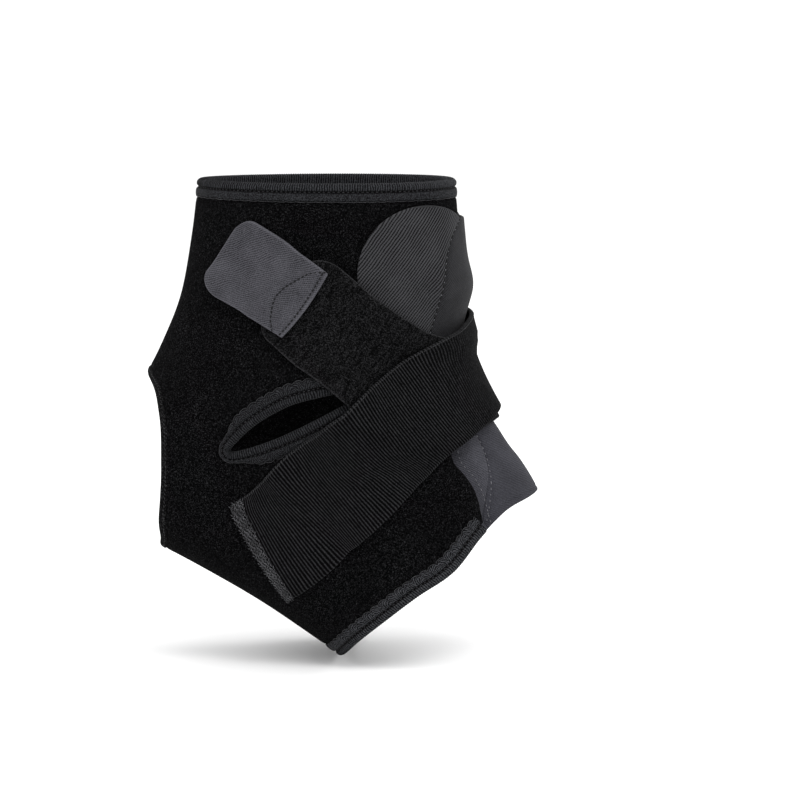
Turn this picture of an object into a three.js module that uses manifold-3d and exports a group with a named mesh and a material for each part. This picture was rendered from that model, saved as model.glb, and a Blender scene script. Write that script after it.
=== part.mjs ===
// Ankle brace for a right foot, closed as it is worn. Millimetres, +Z up the leg, +X toward the
// toes, -Y the outer side of the ankle. The origin is the middle of the ankle.
import * as THREE from 'three';
import { mergeVertices } from 'three/addons/utils/BufferGeometryUtils.js';
import Module from 'manifold-3d';

const wasm = await Module();
wasm.setup();

// Sizes of the skin that the brace lies on
const WRAP_LENGTH = 150; // back of the heel to the front of the toe edge
const WRAP_HEIGHT = 168; // collar's top edge down to the toe edge under the sole
const WRAP_WIDTH = 82; // across the foot at the toe edge

// Sheet thicknesses and the gaps between layers
const WALL = 3; // padded body
const CLOSURE_THICKNESS = 1.6; // grey closure cloth
const STRAP_THICKNESS = 1.8;
const CLEARANCE = 0.35; // between pieces that meet edge to edge
const LAYER_GAP = 0.5; // between cloths that lie on each other
const STRAP_CLEARANCE = 0.85; // between a strap and what it is wrapped over

// Bound edges
const BINDING_WIDTH = 7;
const BINDING_RISE = 0.2; // above the body's outer face
const HEEL_EDGE_WIDTH = 3;
const FRONT_SLIT_TURN = 179; // where each side of the body stops at the front
const BINDING_END_TURN = 123.2; // where the toe edge's binding stops

// Hook-and-loop closures
const CLOSURE_RADIUS = 24.3; // rounded ends of the shin closure
const CLOSURE_TOP_DIP = 5.4; // how far its top edge falls between the next two turns
const CLOSURE_DIP_FROM_TURN = 139;
const CLOSURE_DIP_TO_TURN = 168;
const CLOSURE_BULGE = 2.4; // how far the shin closure stands off in front
const CLOSURE_BULGE_DROP = 5.4; // middle of the bulge below the closure's middle
const CLOSURE_BULGE_REACH = 8; // up and down from the bulge's middle
const CLOSURE_BULGE_FADE = 7.2; // forward from the end tab's middle, until the bulge is whole
const TUCK = 8; // how far the instep closure runs in under the body's flaps
const INSTEP_FREE_HEIGHT = 1; // instep closure above the skin between the flaps

// Straps
const UPPER_STRAP_WIDTH = 36.5;
const LOWER_STRAP_WIDTH = 41;
const STRAP_CORNER = 9;
const TAB_WIDTH = 32;
const TAB_NECK_WIDTH = 28.5; // at its sewn end
const TAB_LENGTH = 38.5;
const TAB_OVERLAP = 12; // strap's end under its tab
const TAB_CORNER = 8;
const END_TAPE_WIDTH = 3.5;
const END_TAPE_RISE = 0.3; // end tape above the strap beside it
const LIFT_MARGIN = 1.6; // a strap is fully lifted this far before the layer below begins
const LIFT_RAMP = 7; // length over which it is lifted

// How finely the sheets are divided
const BODY_COLUMNS = 52;
const BODY_ROWS = 21;
const LOOP_STEPS = 48;
const CLOSURE_ROWS = 10;
const TAB_COLUMNS = 6; // from the shin or instep closure's outer end to its seam
const PANEL_COLUMNS = 14; // from the seam to its inner end
const CUTTER_COLUMNS = 12;
const STRAP_STEP = 5.5; // length of one strap facet
const STRAP_COLUMNS = 6;
const TAB_STEP = 4;
const WALK_STEPS = 5;
const PLUG_RINGS = 5;
const CUTTER_MARGIN = 1.5; // a cutter stands this far out of both faces
const LOOP_SLOPE_PARTS = 3; // a loop's heading is taken over this part of a step
const ROUTE_PARTS = 12; // pieces in which a strap's middle line is measured, for each row
const NUDGE_TURN = 0.8; // small steps for slopes
const NUDGE_DOWN = 0.04;
const NUDGE_LENGTH = 3;
const SEARCH_STEPS = 24;

// Sections across the form, from the collar down to the toe edge, and one spare row beyond it. X and Z
// of each section's back and front are shares of the length and height, half_width is a share of the width.
// A positive skew makes the front half wider. A power below 1 makes that end blunter.
const SECTIONS = rows(
  ['back_x', 'back_z', 'front_x', 'front_z', 'half_width', 'skew', 'back_power', 'front_power'],
  [
    [-0.283, 0.458, 0.289, 0.458, 0.366, -0.10, 1.00, 0.92],
    [-0.300, 0.336, 0.296, 0.379, 0.360, -0.12, 1.02, 0.92],
    [-0.327, 0.208, 0.303, 0.294, 0.360, -0.12, 1.02, 0.94],
    [-0.371, 0.107, 0.302, 0.197, 0.378, -0.08, 0.98, 0.96],
    [-0.416, 0.030, 0.296, 0.111, 0.409, -0.02, 0.92, 1.00],
    [-0.476, -0.043, 0.326, 0.032, 0.433, 0.05, 0.86, 1.02],
    [-0.512, -0.156, 0.367, -0.041, 0.433, 0.10, 0.80, 1.02],
    [-0.492, -0.264, 0.399, -0.086, 0.427, 0.12, 0.76, 1.00],
    [-0.400, -0.302, 0.425, -0.122, 0.439, 0.14, 0.70, 0.97],
    [-0.285, -0.355, 0.453, -0.154, 0.457, 0.16, 0.66, 0.94],
    [-0.136, -0.432, 0.478, -0.189, 0.476, 0.18, 0.64, 0.92],
    [0.056, -0.548, 0.502, -0.229, 0.500, 0.20, 0.62, 0.90],
    [0.178, -0.617, 0.520, -0.261, 0.512, 0.20, 0.62, 0.90],
  ],
);

// Ankle bones under the cloth. Radius and height are shares of the width, side is -1 for the outer one.
const ANKLE_BONES = rows(
  ['x', 'z', 'radius', 'height', 'side'],
  [
    [-0.020, 0.024, 0.183, 0.049, -1],
    [0.013, 0.048, 0.195, 0.043, 1],
  ],
);

// A spot on the form is a turn round it in degrees, 0 at the back, 90 on the outer side and 180 in front,
// and a count of sections down from the collar. These outlines and routes are lists of spots.
const TOE_EDGE_DOWN = rows(
  ['down'],
  [[10.97], [10.92], [10.86], [10.83], [10.82], [10.86], [10.63], [10.44], [10.57], [10.71]],
);
const TOE_EDGE_TURN_STEP = 20;

const HEEL_HOLE = { down: 6.02, half_down: 2.07, half_turn: 45.6 };

const SLIT_CENTRE = { turn: 95, down: 5.2 };

const ANKLE_SLIT = rows(
  ['turn', 'down'],
  [
    [71, 5.82],
    [77, 5.80],
    [86.4, 5.64],
    [95.6, 5.40],
    [104.7, 5.15],
    [112, 4.97],
    [118, 4.83],
    [113, 4.75],
    [104, 4.79],
    [92.2, 4.91],
    [84.5, 5.12],
    [78.2, 5.36],
    [73.6, 5.60],
  ],
);

// Front edge of the outer flap, down past the toe edge. The inner flap is its mirror image.
const FLAP_EDGE = rows(
  ['turn', 'down'],
  [
    [172, 4.9],
    [152, 5.5],
    [143, 6.3],
    [138.5, 7.2],
    [136, 7.8],
    [135.5, 8.4],
    [134.3, 9.0],
    [132.1, 9.52],
    [128.4, 10.05],
    [124.6, 10.5],
    [123.4, 11.1],
    [123.4, 11.7],
  ],
);

const INSTEP_SEAM = rows(
  ['turn', 'down'],
  [
    [154.8, 6.6],
    [153, 7.47],
    [150.1, 8.19],
    [145.1, 8.94],
    [139.8, 9.54],
    [133.8, 10.05],
    [127.6, 10.45],
    [126.2, 10.9],
  ],
);
const INSTEP_TOP_DOWN = 6.15;

// Middle of the shin closure's outer end, and the turn of its seam from top to bottom
const CLOSURE_CENTRE = { x: 0.240 * WRAP_LENGTH, z: 0.265 * WRAP_HEIGHT };
const SHIN_SEAM_TURN = rows(['turn'], [[168], [155], [148], [145.2], [142.5]]);

// Middle lines of the straps, each from its sewn end low on one side, across the front, to its tab
const LOWER_STRAP_ROUTE = rows(
  ['turn', 'down'],
  [
    [52.2, 8.86],
    [61.5, 8.72],
    [69.9, 8.52],
    [79.7, 8.17],
    [101.9, 7.08],
    [119.3, 6.14],
    [136.3, 5.48],
    [154, 5.04],
    [180, 4.70],
    [206, 4.55],
    [229, 4.25],
    [243, 3.82],
    [258.4, 3.20],
    [274.6, 2.42],
    [294.8, 1.72],
    [317, 1.23],
  ],
);
const UPPER_STRAP_ROUTE = rows(
  ['turn', 'down'],
  [
    [307.8, 8.86],
    [298.5, 8.72],
    [290.1, 8.52],
    [280.3, 8.17],
    [258.1, 7.08],
    [240.7, 6.25],
    [222, 5.70],
    [202, 5.38],
    [180, 5.15],
    [160, 5.14],
    [144, 5.00],
    [130.1, 4.65],
    [118.1, 4.05],
    [101.6, 3.22],
    [85.4, 2.42],
    [65.2, 1.72],
    [43, 1.23],
  ],
);

const COLOURS = {
  body: 0x0e0e10,
  binding: 0x323437,
  closure: 0x3c3c41,
  instep: 0x4a4a52,
  strap: 0x111113,
  tab: 0x4b4a50,
};
const CLOTH_ROUGHNESS = 0.9;

// Tables and curves

function rows(names, values) {
  return values.map((row) => Object.fromEntries(names.map((name, column) => [name, row[column]])));
}

// Smooth curve through a table's rows, with place counted in rows
function curve(table, place, loop = false) {
  const count = table.length;
  const first = loop ? Math.floor(place) : THREE.MathUtils.clamp(Math.floor(place), 0, count - 2);
  const part = place - first;
  const value = (row, name) => {
    if (loop) return table[(row + count) % count][name];
    if (row < 0) return 2 * table[0][name] - table[1][name];
    if (row >= count) return 2 * table[count - 1][name] - table[count - 2][name];
    return table[row][name];
  };
  const result = {};
  for (const name of Object.keys(table[0])) {
    const before = value(first - 1, name);
    const start = value(first, name);
    const end = value(first + 1, name);
    const after = value(first + 2, name);
    const bend = 2 * before - 5 * start + 4 * end - after;
    const twist = 3 * start - before - 3 * end + after;
    result[name] = start + (part * (end - before + part * (bend + part * twist))) / 2;
  }
  return result;
}

// Turn of a table's curve where it is the given number of sections down
function turnAtDown(table, down) {
  let low = 0;
  let high = table.length - 1;
  for (let step = 0; step < SEARCH_STEPS; step += 1) {
    const middle = (low + high) / 2;
    if (curve(table, middle).down < down) low = middle;
    else high = middle;
  }
  return curve(table, low).turn;
}

function smooth(from, to, value) {
  return THREE.MathUtils.smoothstep(value, from, to);
}

// The worn form

function skin(turn, down) {
  const section = curve(SECTIONS, down);
  const angle = THREE.MathUtils.degToRad(turn);
  const forward = (1 - Math.cos(angle)) / 2;
  const side = -Math.sign(Math.sin(angle));
  const x = WRAP_LENGTH * THREE.MathUtils.lerp(section.back_x, section.front_x, forward);
  const z = WRAP_HEIGHT * THREE.MathUtils.lerp(section.back_z, section.front_z, forward);
  const power = THREE.MathUtils.lerp(section.back_power, section.front_power, forward);
  const roundness = Math.abs(Math.sin(angle)) ** power;
  let half = WRAP_WIDTH * section.half_width * roundness * (1 + section.skew * Math.cos(angle));
  for (const bone of ANKLE_BONES.filter((row) => row.side === side)) {
    const away = Math.hypot(x - bone.x * WRAP_LENGTH, z - bone.z * WRAP_HEIGHT);
    const share = Math.exp(-((away / (bone.radius * WRAP_WIDTH)) ** 2));
    half += WRAP_WIDTH * bone.height * share * Math.abs(Math.sin(angle));
  }
  return new THREE.Vector3(x, side * half, z);
}

function slopes(turn, down) {
  const perTurn = skin(turn + NUDGE_TURN, down).sub(skin(turn - NUDGE_TURN, down));
  const perDown = skin(turn, down + NUDGE_DOWN).sub(skin(turn, down - NUDGE_DOWN));
  perTurn.divideScalar(2 * NUDGE_TURN);
  perDown.divideScalar(2 * NUDGE_DOWN);
  return { perTurn, perDown, outward: perDown.clone().cross(perTurn).normalize() };
}

function lifted(spot, height) {
  return skin(spot.turn, spot.down).addScaledVector(slopes(spot.turn, spot.down).outward, height);
}

// Spot reached by going straight over the form
function walk(spot, heading, distance) {
  const step = distance / WALK_STEPS;
  const direction = heading.clone();
  let { turn, down } = spot;
  for (let count = 0; count < WALK_STEPS; count += 1) {
    const { perTurn, perDown } = slopes(turn, down);
    const mixed = perTurn.dot(perDown);
    const scale = step / (perTurn.lengthSq() * perDown.lengthSq() - mixed * mixed);
    const alongTurn = direction.dot(perTurn);
    const alongDown = direction.dot(perDown);
    turn += (perDown.lengthSq() * alongTurn - mixed * alongDown) * scale;
    down += (perTurn.lengthSq() * alongDown - mixed * alongTurn) * scale;
    direction.projectOnPlane(slopes(turn, down).outward).normalize();
  }
  return { turn, down };
}

// Where a spot shows in the side view, on the outer face of the closure's cloth
function sideView(turn, down) {
  return lifted({ turn, down }, WALL + LAYER_GAP + CLOSURE_THICKNESS);
}

// Spot at a given height in the side view, for one turn
function spotAtHeight(turn, z) {
  let low = 0;
  let high = SECTIONS.length - 1;
  for (let step = 0; step < SEARCH_STEPS; step += 1) {
    const middle = (low + high) / 2;
    if (sideView(turn, middle).z > z) low = middle;
    else high = middle;
  }
  return { turn, down: low };
}

// Turn at which a given height is also at a given x, on the outer side
function turnAtPoint(x, z) {
  let back = 0;
  let front = 180;
  for (let step = 0; step < SEARCH_STEPS; step += 1) {
    const middle = (back + front) / 2;
    const spot = spotAtHeight(middle, z);
    if (sideView(middle, spot.down).x < x) back = middle;
    else front = middle;
  }
  return back;
}

// Solids

function closedGeometry(points, triangles) {
  const geometry = new THREE.BufferGeometry();
  geometry.setAttribute('position', new THREE.Float32BufferAttribute(points.flatMap((p) => p.toArray()), 3));
  const volume = triangles.reduce((sum, [a, b, c]) => {
    return sum + points[a].dot(points[b].clone().cross(points[c]));
  }, 0);
  const outward = volume > 0 ? triangles : triangles.map(([a, b, c]) => [a, c, b]);
  geometry.setIndex(outward.flat());
  return geometry;
}

// A sheet of spots with a low and a high face, closed round its rim. spots[row][column] are its corners.
function sheet(spots, low, high, loop = false) {
  const columns = spots[0].length;
  const level = (height) => spots.flat().map((spot) => lifted(spot, height(spot)));
  const points = [...level(low), ...level(high)];
  const top = spots.length * columns;
  const triangles = [];
  const quad = (a, b, c, d) => triangles.push([a, b, c], [a, c, d]);
  const corner = (row, column) => (row % spots.length) * columns + column;
  const lastRow = loop ? spots.length : spots.length - 1;
  for (let row = 0; row < lastRow; row += 1) {
    for (let column = 0; column < columns - 1; column += 1) {
      const a = corner(row, column);
      const b = corner(row, column + 1);
      const c = corner(row + 1, column + 1);
      const d = corner(row + 1, column);
      quad(a, b, c, d);
      quad(top + d, top + c, top + b, top + a);
    }
    const left = [corner(row, 0), corner(row + 1, 0)];
    const right = [corner(row, columns - 1), corner(row + 1, columns - 1)];
    quad(left[1], top + left[1], top + left[0], left[0]);
    quad(right[0], top + right[0], top + right[1], right[1]);
  }
  for (let column = 0; column < columns - 1 && !loop; column += 1) {
    const near = [corner(0, column), corner(0, column + 1)];
    const far = [corner(lastRow, column), corner(lastRow, column + 1)];
    quad(near[0], top + near[0], top + near[1], near[1]);
    quad(far[1], top + far[1], top + far[0], far[0]);
  }
  return closedGeometry(points, triangles);
}

// A cutter with the outline of a loop of spots, standing straight through the wall
function plug(outline, centre) {
  const count = outline.length;
  const points = [];
  for (const height of [-CUTTER_MARGIN, WALL + CUTTER_MARGIN]) {
    points.push(lifted(centre, height));
    for (let ring = 1; ring <= PLUG_RINGS; ring += 1) {
      for (const spot of outline) {
        const turn = THREE.MathUtils.lerp(centre.turn, spot.turn, ring / PLUG_RINGS);
        const down = THREE.MathUtils.lerp(centre.down, spot.down, ring / PLUG_RINGS);
        points.push(lifted({ turn, down }, height));
      }
    }
  }
  const top = points.length / 2;
  const at = (ring, index) => 1 + (ring - 1) * count + (index % count);
  const triangles = [];
  for (let index = 0; index < count; index += 1) {
    triangles.push([0, at(1, index), at(1, index + 1)], [top, top + at(1, index + 1), top + at(1, index)]);
    for (let ring = 1; ring < PLUG_RINGS; ring += 1) {
      const [a, b] = [at(ring, index), at(ring + 1, index)];
      const [c, d] = [at(ring + 1, index + 1), at(ring, index + 1)];
      triangles.push([a, b, c], [a, c, d], [top + c, top + b, top + a], [top + d, top + c, top + a]);
    }
    const [near, far] = [at(PLUG_RINGS, index), at(PLUG_RINGS, index + 1)];
    triangles.push([near, top + near, top + far], [near, top + far, far]);
  }
  return closedGeometry(points, triangles);
}

function solid(geometry) {
  const merged = mergeVertices(geometry);
  const vertProperties = new Float32Array(merged.attributes.position.array);
  const triVerts = new Uint32Array(merged.index.array);
  return new wasm.Manifold(new wasm.Mesh({ numProp: 3, vertProperties, triVerts }));
}

function cutGeometry(geometry, cutters) {
  const result = cutters.reduce((body, cutter) => body.subtract(solid(cutter)), solid(geometry)).getMesh();
  const cut = new THREE.BufferGeometry();
  cut.setAttribute('position', new THREE.Float32BufferAttribute(result.vertProperties, 3));
  cut.setIndex(Array.from(result.triVerts));
  return cut;
}

function grid(rowCount, columnCount, place) {
  const spots = [];
  for (let row = 0; row <= rowCount; row += 1) {
    const line = [];
    for (let column = 0; column <= columnCount; column += 1) {
      line.push(place(row / rowCount, column / columnCount));
    }
    spots.push(line);
  }
  return spots;
}

// Edges of the body

function downTheForm(turn, down) {
  return slopes(turn, down).perDown.normalize();
}

function toeEdge(turn) {
  const front = Math.abs(THREE.MathUtils.euclideanModulo(turn + 180, 360) - 180);
  return { turn, down: curve(TOE_EDGE_DOWN, front / TOE_EDGE_TURN_STEP).down };
}

function belowCollar(turn, distance) {
  const edge = { turn, down: 0 };
  return walk(edge, downTheForm(turn, 0), distance);
}

function aboveToeEdge(turn, distance) {
  const edge = toeEdge(turn);
  return walk(edge, downTheForm(turn, edge.down), -distance);
}

function heelHoleEdge(share) {
  const angle = 2 * Math.PI * share;
  const turn = HEEL_HOLE.half_turn * Math.cos(angle);
  return { turn, down: HEEL_HOLE.down - HEEL_HOLE.half_down * Math.sin(angle) };
}

function ankleSlitEdge(share) {
  return curve(ANKLE_SLIT, share * ANKLE_SLIT.length, true);
}

// Spots beside a closed edge, at a distance outward from it
function besideLoop(edge, distance) {
  const spots = [];
  for (let step = 0; step < LOOP_STEPS; step += 1) {
    const share = step / LOOP_STEPS;
    const nudge = 1 / (LOOP_SLOPE_PARTS * LOOP_STEPS);
    const spot = edge(share);
    const before = edge((share - nudge + 1) % 1);
    const after = edge((share + nudge) % 1);
    const forward = skin(after.turn, after.down).sub(skin(before.turn, before.down));
    const heading = forward.cross(slopes(spot.turn, spot.down).outward).normalize();
    spots.push(walk(spot, heading, distance));
  }
  return spots;
}

function loopBinding(edge, width, height) {
  const inner = besideLoop(edge, 0);
  const outer = besideLoop(edge, width);
  return sheet(inner.map((spot, index) => [spot, outer[index]]), () => 0, () => height, true);
}

function loopCutter(edge, distance, centre) {
  return plug(besideLoop(edge, distance), centre);
}

function flapTurn(down) {
  return turnAtDown(FLAP_EDGE, down);
}

function frontCutter() {
  const from = FLAP_EDGE[0].down;
  const to = FLAP_EDGE[FLAP_EDGE.length - 1].down;
  const spots = grid(BODY_ROWS, CUTTER_COLUMNS, (along, across) => {
    const down = THREE.MathUtils.lerp(from, to, along);
    const turn = flapTurn(down);
    return { turn: THREE.MathUtils.lerp(turn, 360 - turn, across), down };
  });
  return sheet(spots, () => -CUTTER_MARGIN, () => WALL + CUTTER_MARGIN);
}

function bodyWrap() {
  const spots = grid(BODY_COLUMNS, BODY_ROWS, (round, along) => {
    const turn = THREE.MathUtils.lerp(-FRONT_SLIT_TURN, FRONT_SLIT_TURN, round);
    const top = belowCollar(turn, BINDING_WIDTH + CLEARANCE);
    const bottom = aboveToeEdge(turn, BINDING_WIDTH + CLEARANCE);
    return {
      turn: THREE.MathUtils.lerp(top.turn, bottom.turn, along),
      down: THREE.MathUtils.lerp(top.down, bottom.down, along),
    };
  });
  return cutGeometry(sheet(spots, () => 0, () => WALL), [
    loopCutter(heelHoleEdge, HEEL_EDGE_WIDTH + CLEARANCE, { turn: 0, down: HEEL_HOLE.down }),
    loopCutter(ankleSlitEdge, BINDING_WIDTH + CLEARANCE, SLIT_CENTRE),
    frontCutter(),
  ]);
}

// Binding along the collar or the toe edge, from one turn round the back to its mirror image
function edgeBinding(endTurn, place) {
  const spots = grid(BODY_COLUMNS, 1, (round, across) => {
    return place(THREE.MathUtils.lerp(-endTurn, endTurn, round), across * BINDING_WIDTH);
  });
  return sheet(spots, () => 0, () => WALL + BINDING_RISE);
}

// Shin closure: one cloth with rounded ends across the front, in two pieces that meet at a seam

// How far a spot is outside the shin closure's outline, negative inside it
function outsideClosure(spot) {
  const point = sideView(spot.turn, spot.down);
  const back = Math.max(CLOSURE_CENTRE.x - point.x, 0);
  return Math.hypot(back, point.z - CLOSURE_CENTRE.z) - CLOSURE_RADIUS;
}

function closureBulge(spot) {
  const point = sideView(spot.turn, spot.down);
  const up = (point.z - CLOSURE_CENTRE.z + CLOSURE_BULGE_DROP) / CLOSURE_BULGE_REACH;
  return CLOSURE_BULGE * Math.exp(-up * up) * smooth(0, CLOSURE_BULGE_FADE, point.x - CLOSURE_CENTRE.x);
}

// How far the closure's top edge is below a level line
function closureDip(turn) {
  const side = Math.min(turn, 360 - turn);
  const share = (side - CLOSURE_DIP_FROM_TURN) / (CLOSURE_DIP_TO_TURN - CLOSURE_DIP_FROM_TURN);
  return CLOSURE_TOP_DIP * THREE.MathUtils.clamp(share, 0, 1) ** 2;
}

function closureRow(along) {
  const angle = Math.PI * along;
  const z = CLOSURE_CENTRE.z + CLOSURE_RADIUS * Math.cos(angle);
  const x = CLOSURE_CENTRE.x - CLOSURE_RADIUS * Math.sin(angle);
  const seamRow = (1 - Math.cos(angle)) / 2 * (SHIN_SEAM_TURN.length - 1);
  const dipShare = Math.max(Math.cos(angle), 0);
  return { z, dipShare, endTurn: turnAtPoint(x, z), seamTurn: curve(SHIN_SEAM_TURN, seamRow).turn };
}

function closureSheet(columns, limits) {
  const spots = grid(CLOSURE_ROWS, columns, (along, across) => {
    const row = closureRow(along);
    const [from, to] = limits(row);
    const turn = THREE.MathUtils.lerp(from, to, across);
    return spotAtHeight(turn, row.z - closureDip(turn) * row.dipShare);
  });
  const low = (spot) => WALL + LAYER_GAP + closureBulge(spot);
  return sheet(spots, low, (spot) => low(spot) + CLOSURE_THICKNESS);
}

function turnPerLength(spot) {
  return 1 / slopes(spot.turn, spot.down).perTurn.length();
}

function shinTab() {
  return closureSheet(TAB_COLUMNS, (row) => [row.endTurn, row.seamTurn]);
}

function shinPanel() {
  return closureSheet(PANEL_COLUMNS, (row) => {
    const gap = CLEARANCE * turnPerLength(spotAtHeight(row.seamTurn, row.z));
    return [row.seamTurn + gap, 360 - row.endTurn];
  });
}

// Instep closure: tucked in under both flaps, in two pieces that meet at a seam

function instepSheet(columns, limits) {
  const spots = grid(CLOSURE_ROWS, columns, (along, across) => {
    const rough = THREE.MathUtils.lerp(INSTEP_TOP_DOWN, toeEdge(180).down, along);
    const [from, to] = limits(rough);
    const turn = THREE.MathUtils.lerp(from, to, across);
    return { turn, down: THREE.MathUtils.lerp(INSTEP_TOP_DOWN, toeEdge(turn).down, along) };
  });
  const high = (spot) => {
    const side = Math.min(spot.turn, 360 - spot.turn);
    const clear = (side - flapTurn(spot.down)) / turnPerLength(spot);
    const free = smooth(CLEARANCE, TUCK, clear);
    return THREE.MathUtils.lerp(-LAYER_GAP, INSTEP_FREE_HEIGHT + CLOSURE_THICKNESS, free);
  };
  return sheet(spots, (spot) => high(spot) - CLOSURE_THICKNESS, high);
}

function instepTurns(down) {
  const flap = flapTurn(down);
  const tuck = TUCK * turnPerLength({ turn: flap, down });
  const seam = turnAtDown(INSTEP_SEAM, down);
  const gap = CLEARANCE * turnPerLength({ turn: seam, down });
  return { tucked: flap - tuck, seam, pastSeam: seam + gap };
}

function instepTab() {
  return instepSheet(TAB_COLUMNS, (down) => [instepTurns(down).tucked, instepTurns(down).seam]);
}

function instepPanel() {
  return instepSheet(PANEL_COLUMNS, (down) => {
    return [instepTurns(down).pastSeam, 360 - instepTurns(down).tucked];
  });
}

// Straps

// A strap's middle line, measured in length from its sewn end
function measuredRoute(table) {
  const marks = [];
  let length = 0;
  let previous = null;
  for (let step = 0; step <= (table.length - 1) * ROUTE_PARTS; step += 1) {
    const spot = curve(table, step / ROUTE_PARTS);
    const point = skin(spot.turn, spot.down);
    if (previous) length += point.distanceTo(previous);
    marks.push({ length, turn: spot.turn, down: spot.down, point });
    previous = point;
  }
  const spotAt = (distance) => {
    const past = marks.findIndex((mark) => mark.length > distance);
    const next = THREE.MathUtils.clamp(past, 1, marks.length - 1);
    const after = distance >= length ? marks[marks.length - 1] : marks[next];
    const before = distance >= length ? marks[marks.length - 2] : marks[next - 1];
    const share = (distance - before.length) / (after.length - before.length);
    return {
      turn: THREE.MathUtils.lerp(before.turn, after.turn, share),
      down: THREE.MathUtils.lerp(before.down, after.down, share),
    };
  };
  return { length, marks, spotAt };
}

const UPPER_ROUTE = measuredRoute(UPPER_STRAP_ROUTE);
const LOWER_ROUTE = measuredRoute(LOWER_STRAP_ROUTE);

// Half the width at a distance from a rounded end
function roundedHalf(width, corner, fromEnd) {
  const inward = Math.max(corner - fromEnd, 0);
  return width / 2 - corner + Math.sqrt(Math.max(corner * corner - inward * inward, 0));
}

// Spots of a band along a route. Corners are the rounding at its two ends, neck is its width at the start.
function bandSpots(route, band) {
  const { from, to, width, neck = width, corners, step } = band;
  const count = Math.max(Math.round((to - from) / step), 1);
  return grid(count, STRAP_COLUMNS, (along, across) => {
    const distance = THREE.MathUtils.lerp(from, to, eased(along, corners, count));
    const spot = route.spotAt(distance);
    const ahead = route.spotAt(distance + NUDGE_LENGTH);
    const behind = route.spotAt(distance - NUDGE_LENGTH);
    const forward = skin(ahead.turn, ahead.down).sub(skin(behind.turn, behind.down)).normalize();
    const heading = slopes(spot.turn, spot.down).outward.cross(forward).normalize();
    const nearStart = roundedHalf(width, corners[0], distance - from);
    const nearEnd = roundedHalf(width, corners[1], to - distance);
    const narrowing = THREE.MathUtils.lerp(neck / width, 1, (distance - from) / (to - from));
    const half = narrowing * Math.min(nearStart, nearEnd);
    return walk(spot, heading, half * (2 * across - 1));
  });
}

// Stations closer together at a rounded end
function eased(along, corners, count) {
  const pull = (share, corner) => (corner > 0 ? share ** (1 + 1 / count) : share);
  return 1 - pull(1 - pull(along, corners[0]), corners[1]);
}

function overClosure(spot) {
  const rise = 1 - smooth(LIFT_MARGIN, LIFT_MARGIN + LIFT_RAMP, outsideClosure(spot));
  return rise * (LAYER_GAP + CLOSURE_THICKNESS + closureBulge(spot));
}

function upperStrapLow(spot) {
  return WALL + STRAP_CLEARANCE + overClosure(spot);
}

function outsideUpperStrap(spot) {
  const point = skin(spot.turn, spot.down);
  const strapEnd = UPPER_ROUTE.length - TAB_LENGTH + TAB_OVERLAP;
  const marks = UPPER_ROUTE.marks.filter((mark) => mark.length < strapEnd);
  const nearest = Math.min(...marks.map((mark) => mark.point.distanceTo(point)));
  return nearest - UPPER_STRAP_WIDTH / 2;
}

function lowerStrapLow(spot) {
  const rise = 1 - smooth(LIFT_MARGIN, LIFT_MARGIN + LIFT_RAMP, outsideUpperStrap(spot));
  return upperStrapLow(spot) + rise * (STRAP_THICKNESS + STRAP_CLEARANCE);
}

function strap(route, width, low) {
  const from = END_TAPE_WIDTH + CLEARANCE;
  const to = route.length - TAB_LENGTH + TAB_OVERLAP;
  const spots = bandSpots(route, { from, to, width, corners: [0, STRAP_CORNER], step: STRAP_STEP });
  return sheet(spots, low, (spot) => low(spot) + STRAP_THICKNESS);
}

// The tab lies on the strap's end and comes down to the body past it
function strapTab(route) {
  const from = route.length - TAB_LENGTH;
  const corners = [CLEARANCE, TAB_CORNER];
  const band = { from, to: route.length, width: TAB_WIDTH, neck: TAB_NECK_WIDTH, corners, step: TAB_STEP };
  const spots = bandSpots(route, band);
  const tip = route.spotAt(route.length);
  const strapEnd = route.spotAt(from + TAB_OVERLAP + LIFT_MARGIN);
  const endPoint = skin(strapEnd.turn, strapEnd.down);
  const ahead = skin(tip.turn, tip.down).sub(endPoint).normalize();
  const low = (spot) => {
    const past = skin(spot.turn, spot.down).sub(endPoint).dot(ahead);
    const onStrap = 1 - smooth(0, LIFT_RAMP, past);
    return upperStrapLow(spot) + onStrap * (STRAP_THICKNESS + STRAP_CLEARANCE);
  };
  return sheet(spots, low, (spot) => low(spot) + CLOSURE_THICKNESS);
}

function strapEndTape(route, width) {
  const corners = [0, 0];
  const spots = bandSpots(route, { from: 0, to: END_TAPE_WIDTH, width, corners, step: END_TAPE_WIDTH });
  const high = WALL + STRAP_CLEARANCE + STRAP_THICKNESS + END_TAPE_RISE;
  return sheet(spots, () => WALL + LAYER_GAP, () => high);
}

// The brace

const brace = new THREE.Group();

function addPiece(name, geometry, color) {
  const material = new THREE.MeshStandardMaterial({ color, roughness: CLOTH_ROUGHNESS, metalness: 0 });
  const mesh = new THREE.Mesh(geometry, material);
  mesh.name = name;
  brace.add(mesh);
}

const BOUND_HEIGHT = WALL + BINDING_RISE;
addPiece('body_wrap', bodyWrap(), COLOURS.body);
addPiece('collar_binding', edgeBinding(FRONT_SLIT_TURN, belowCollar), COLOURS.binding);
addPiece('toe_edge_binding', edgeBinding(BINDING_END_TURN, aboveToeEdge), COLOURS.binding);
addPiece('heel_binding', loopBinding(heelHoleEdge, HEEL_EDGE_WIDTH, BOUND_HEIGHT), COLOURS.binding);
addPiece('slit_binding', loopBinding(ankleSlitEdge, BINDING_WIDTH, BOUND_HEIGHT), COLOURS.binding);
addPiece('shin_tab', shinTab(), COLOURS.closure);
addPiece('shin_panel', shinPanel(), COLOURS.closure);
addPiece('instep_tab', instepTab(), COLOURS.instep);
addPiece('instep_panel', instepPanel(), COLOURS.closure);
addPiece('upper_strap', strap(UPPER_ROUTE, UPPER_STRAP_WIDTH, upperStrapLow), COLOURS.strap);
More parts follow.
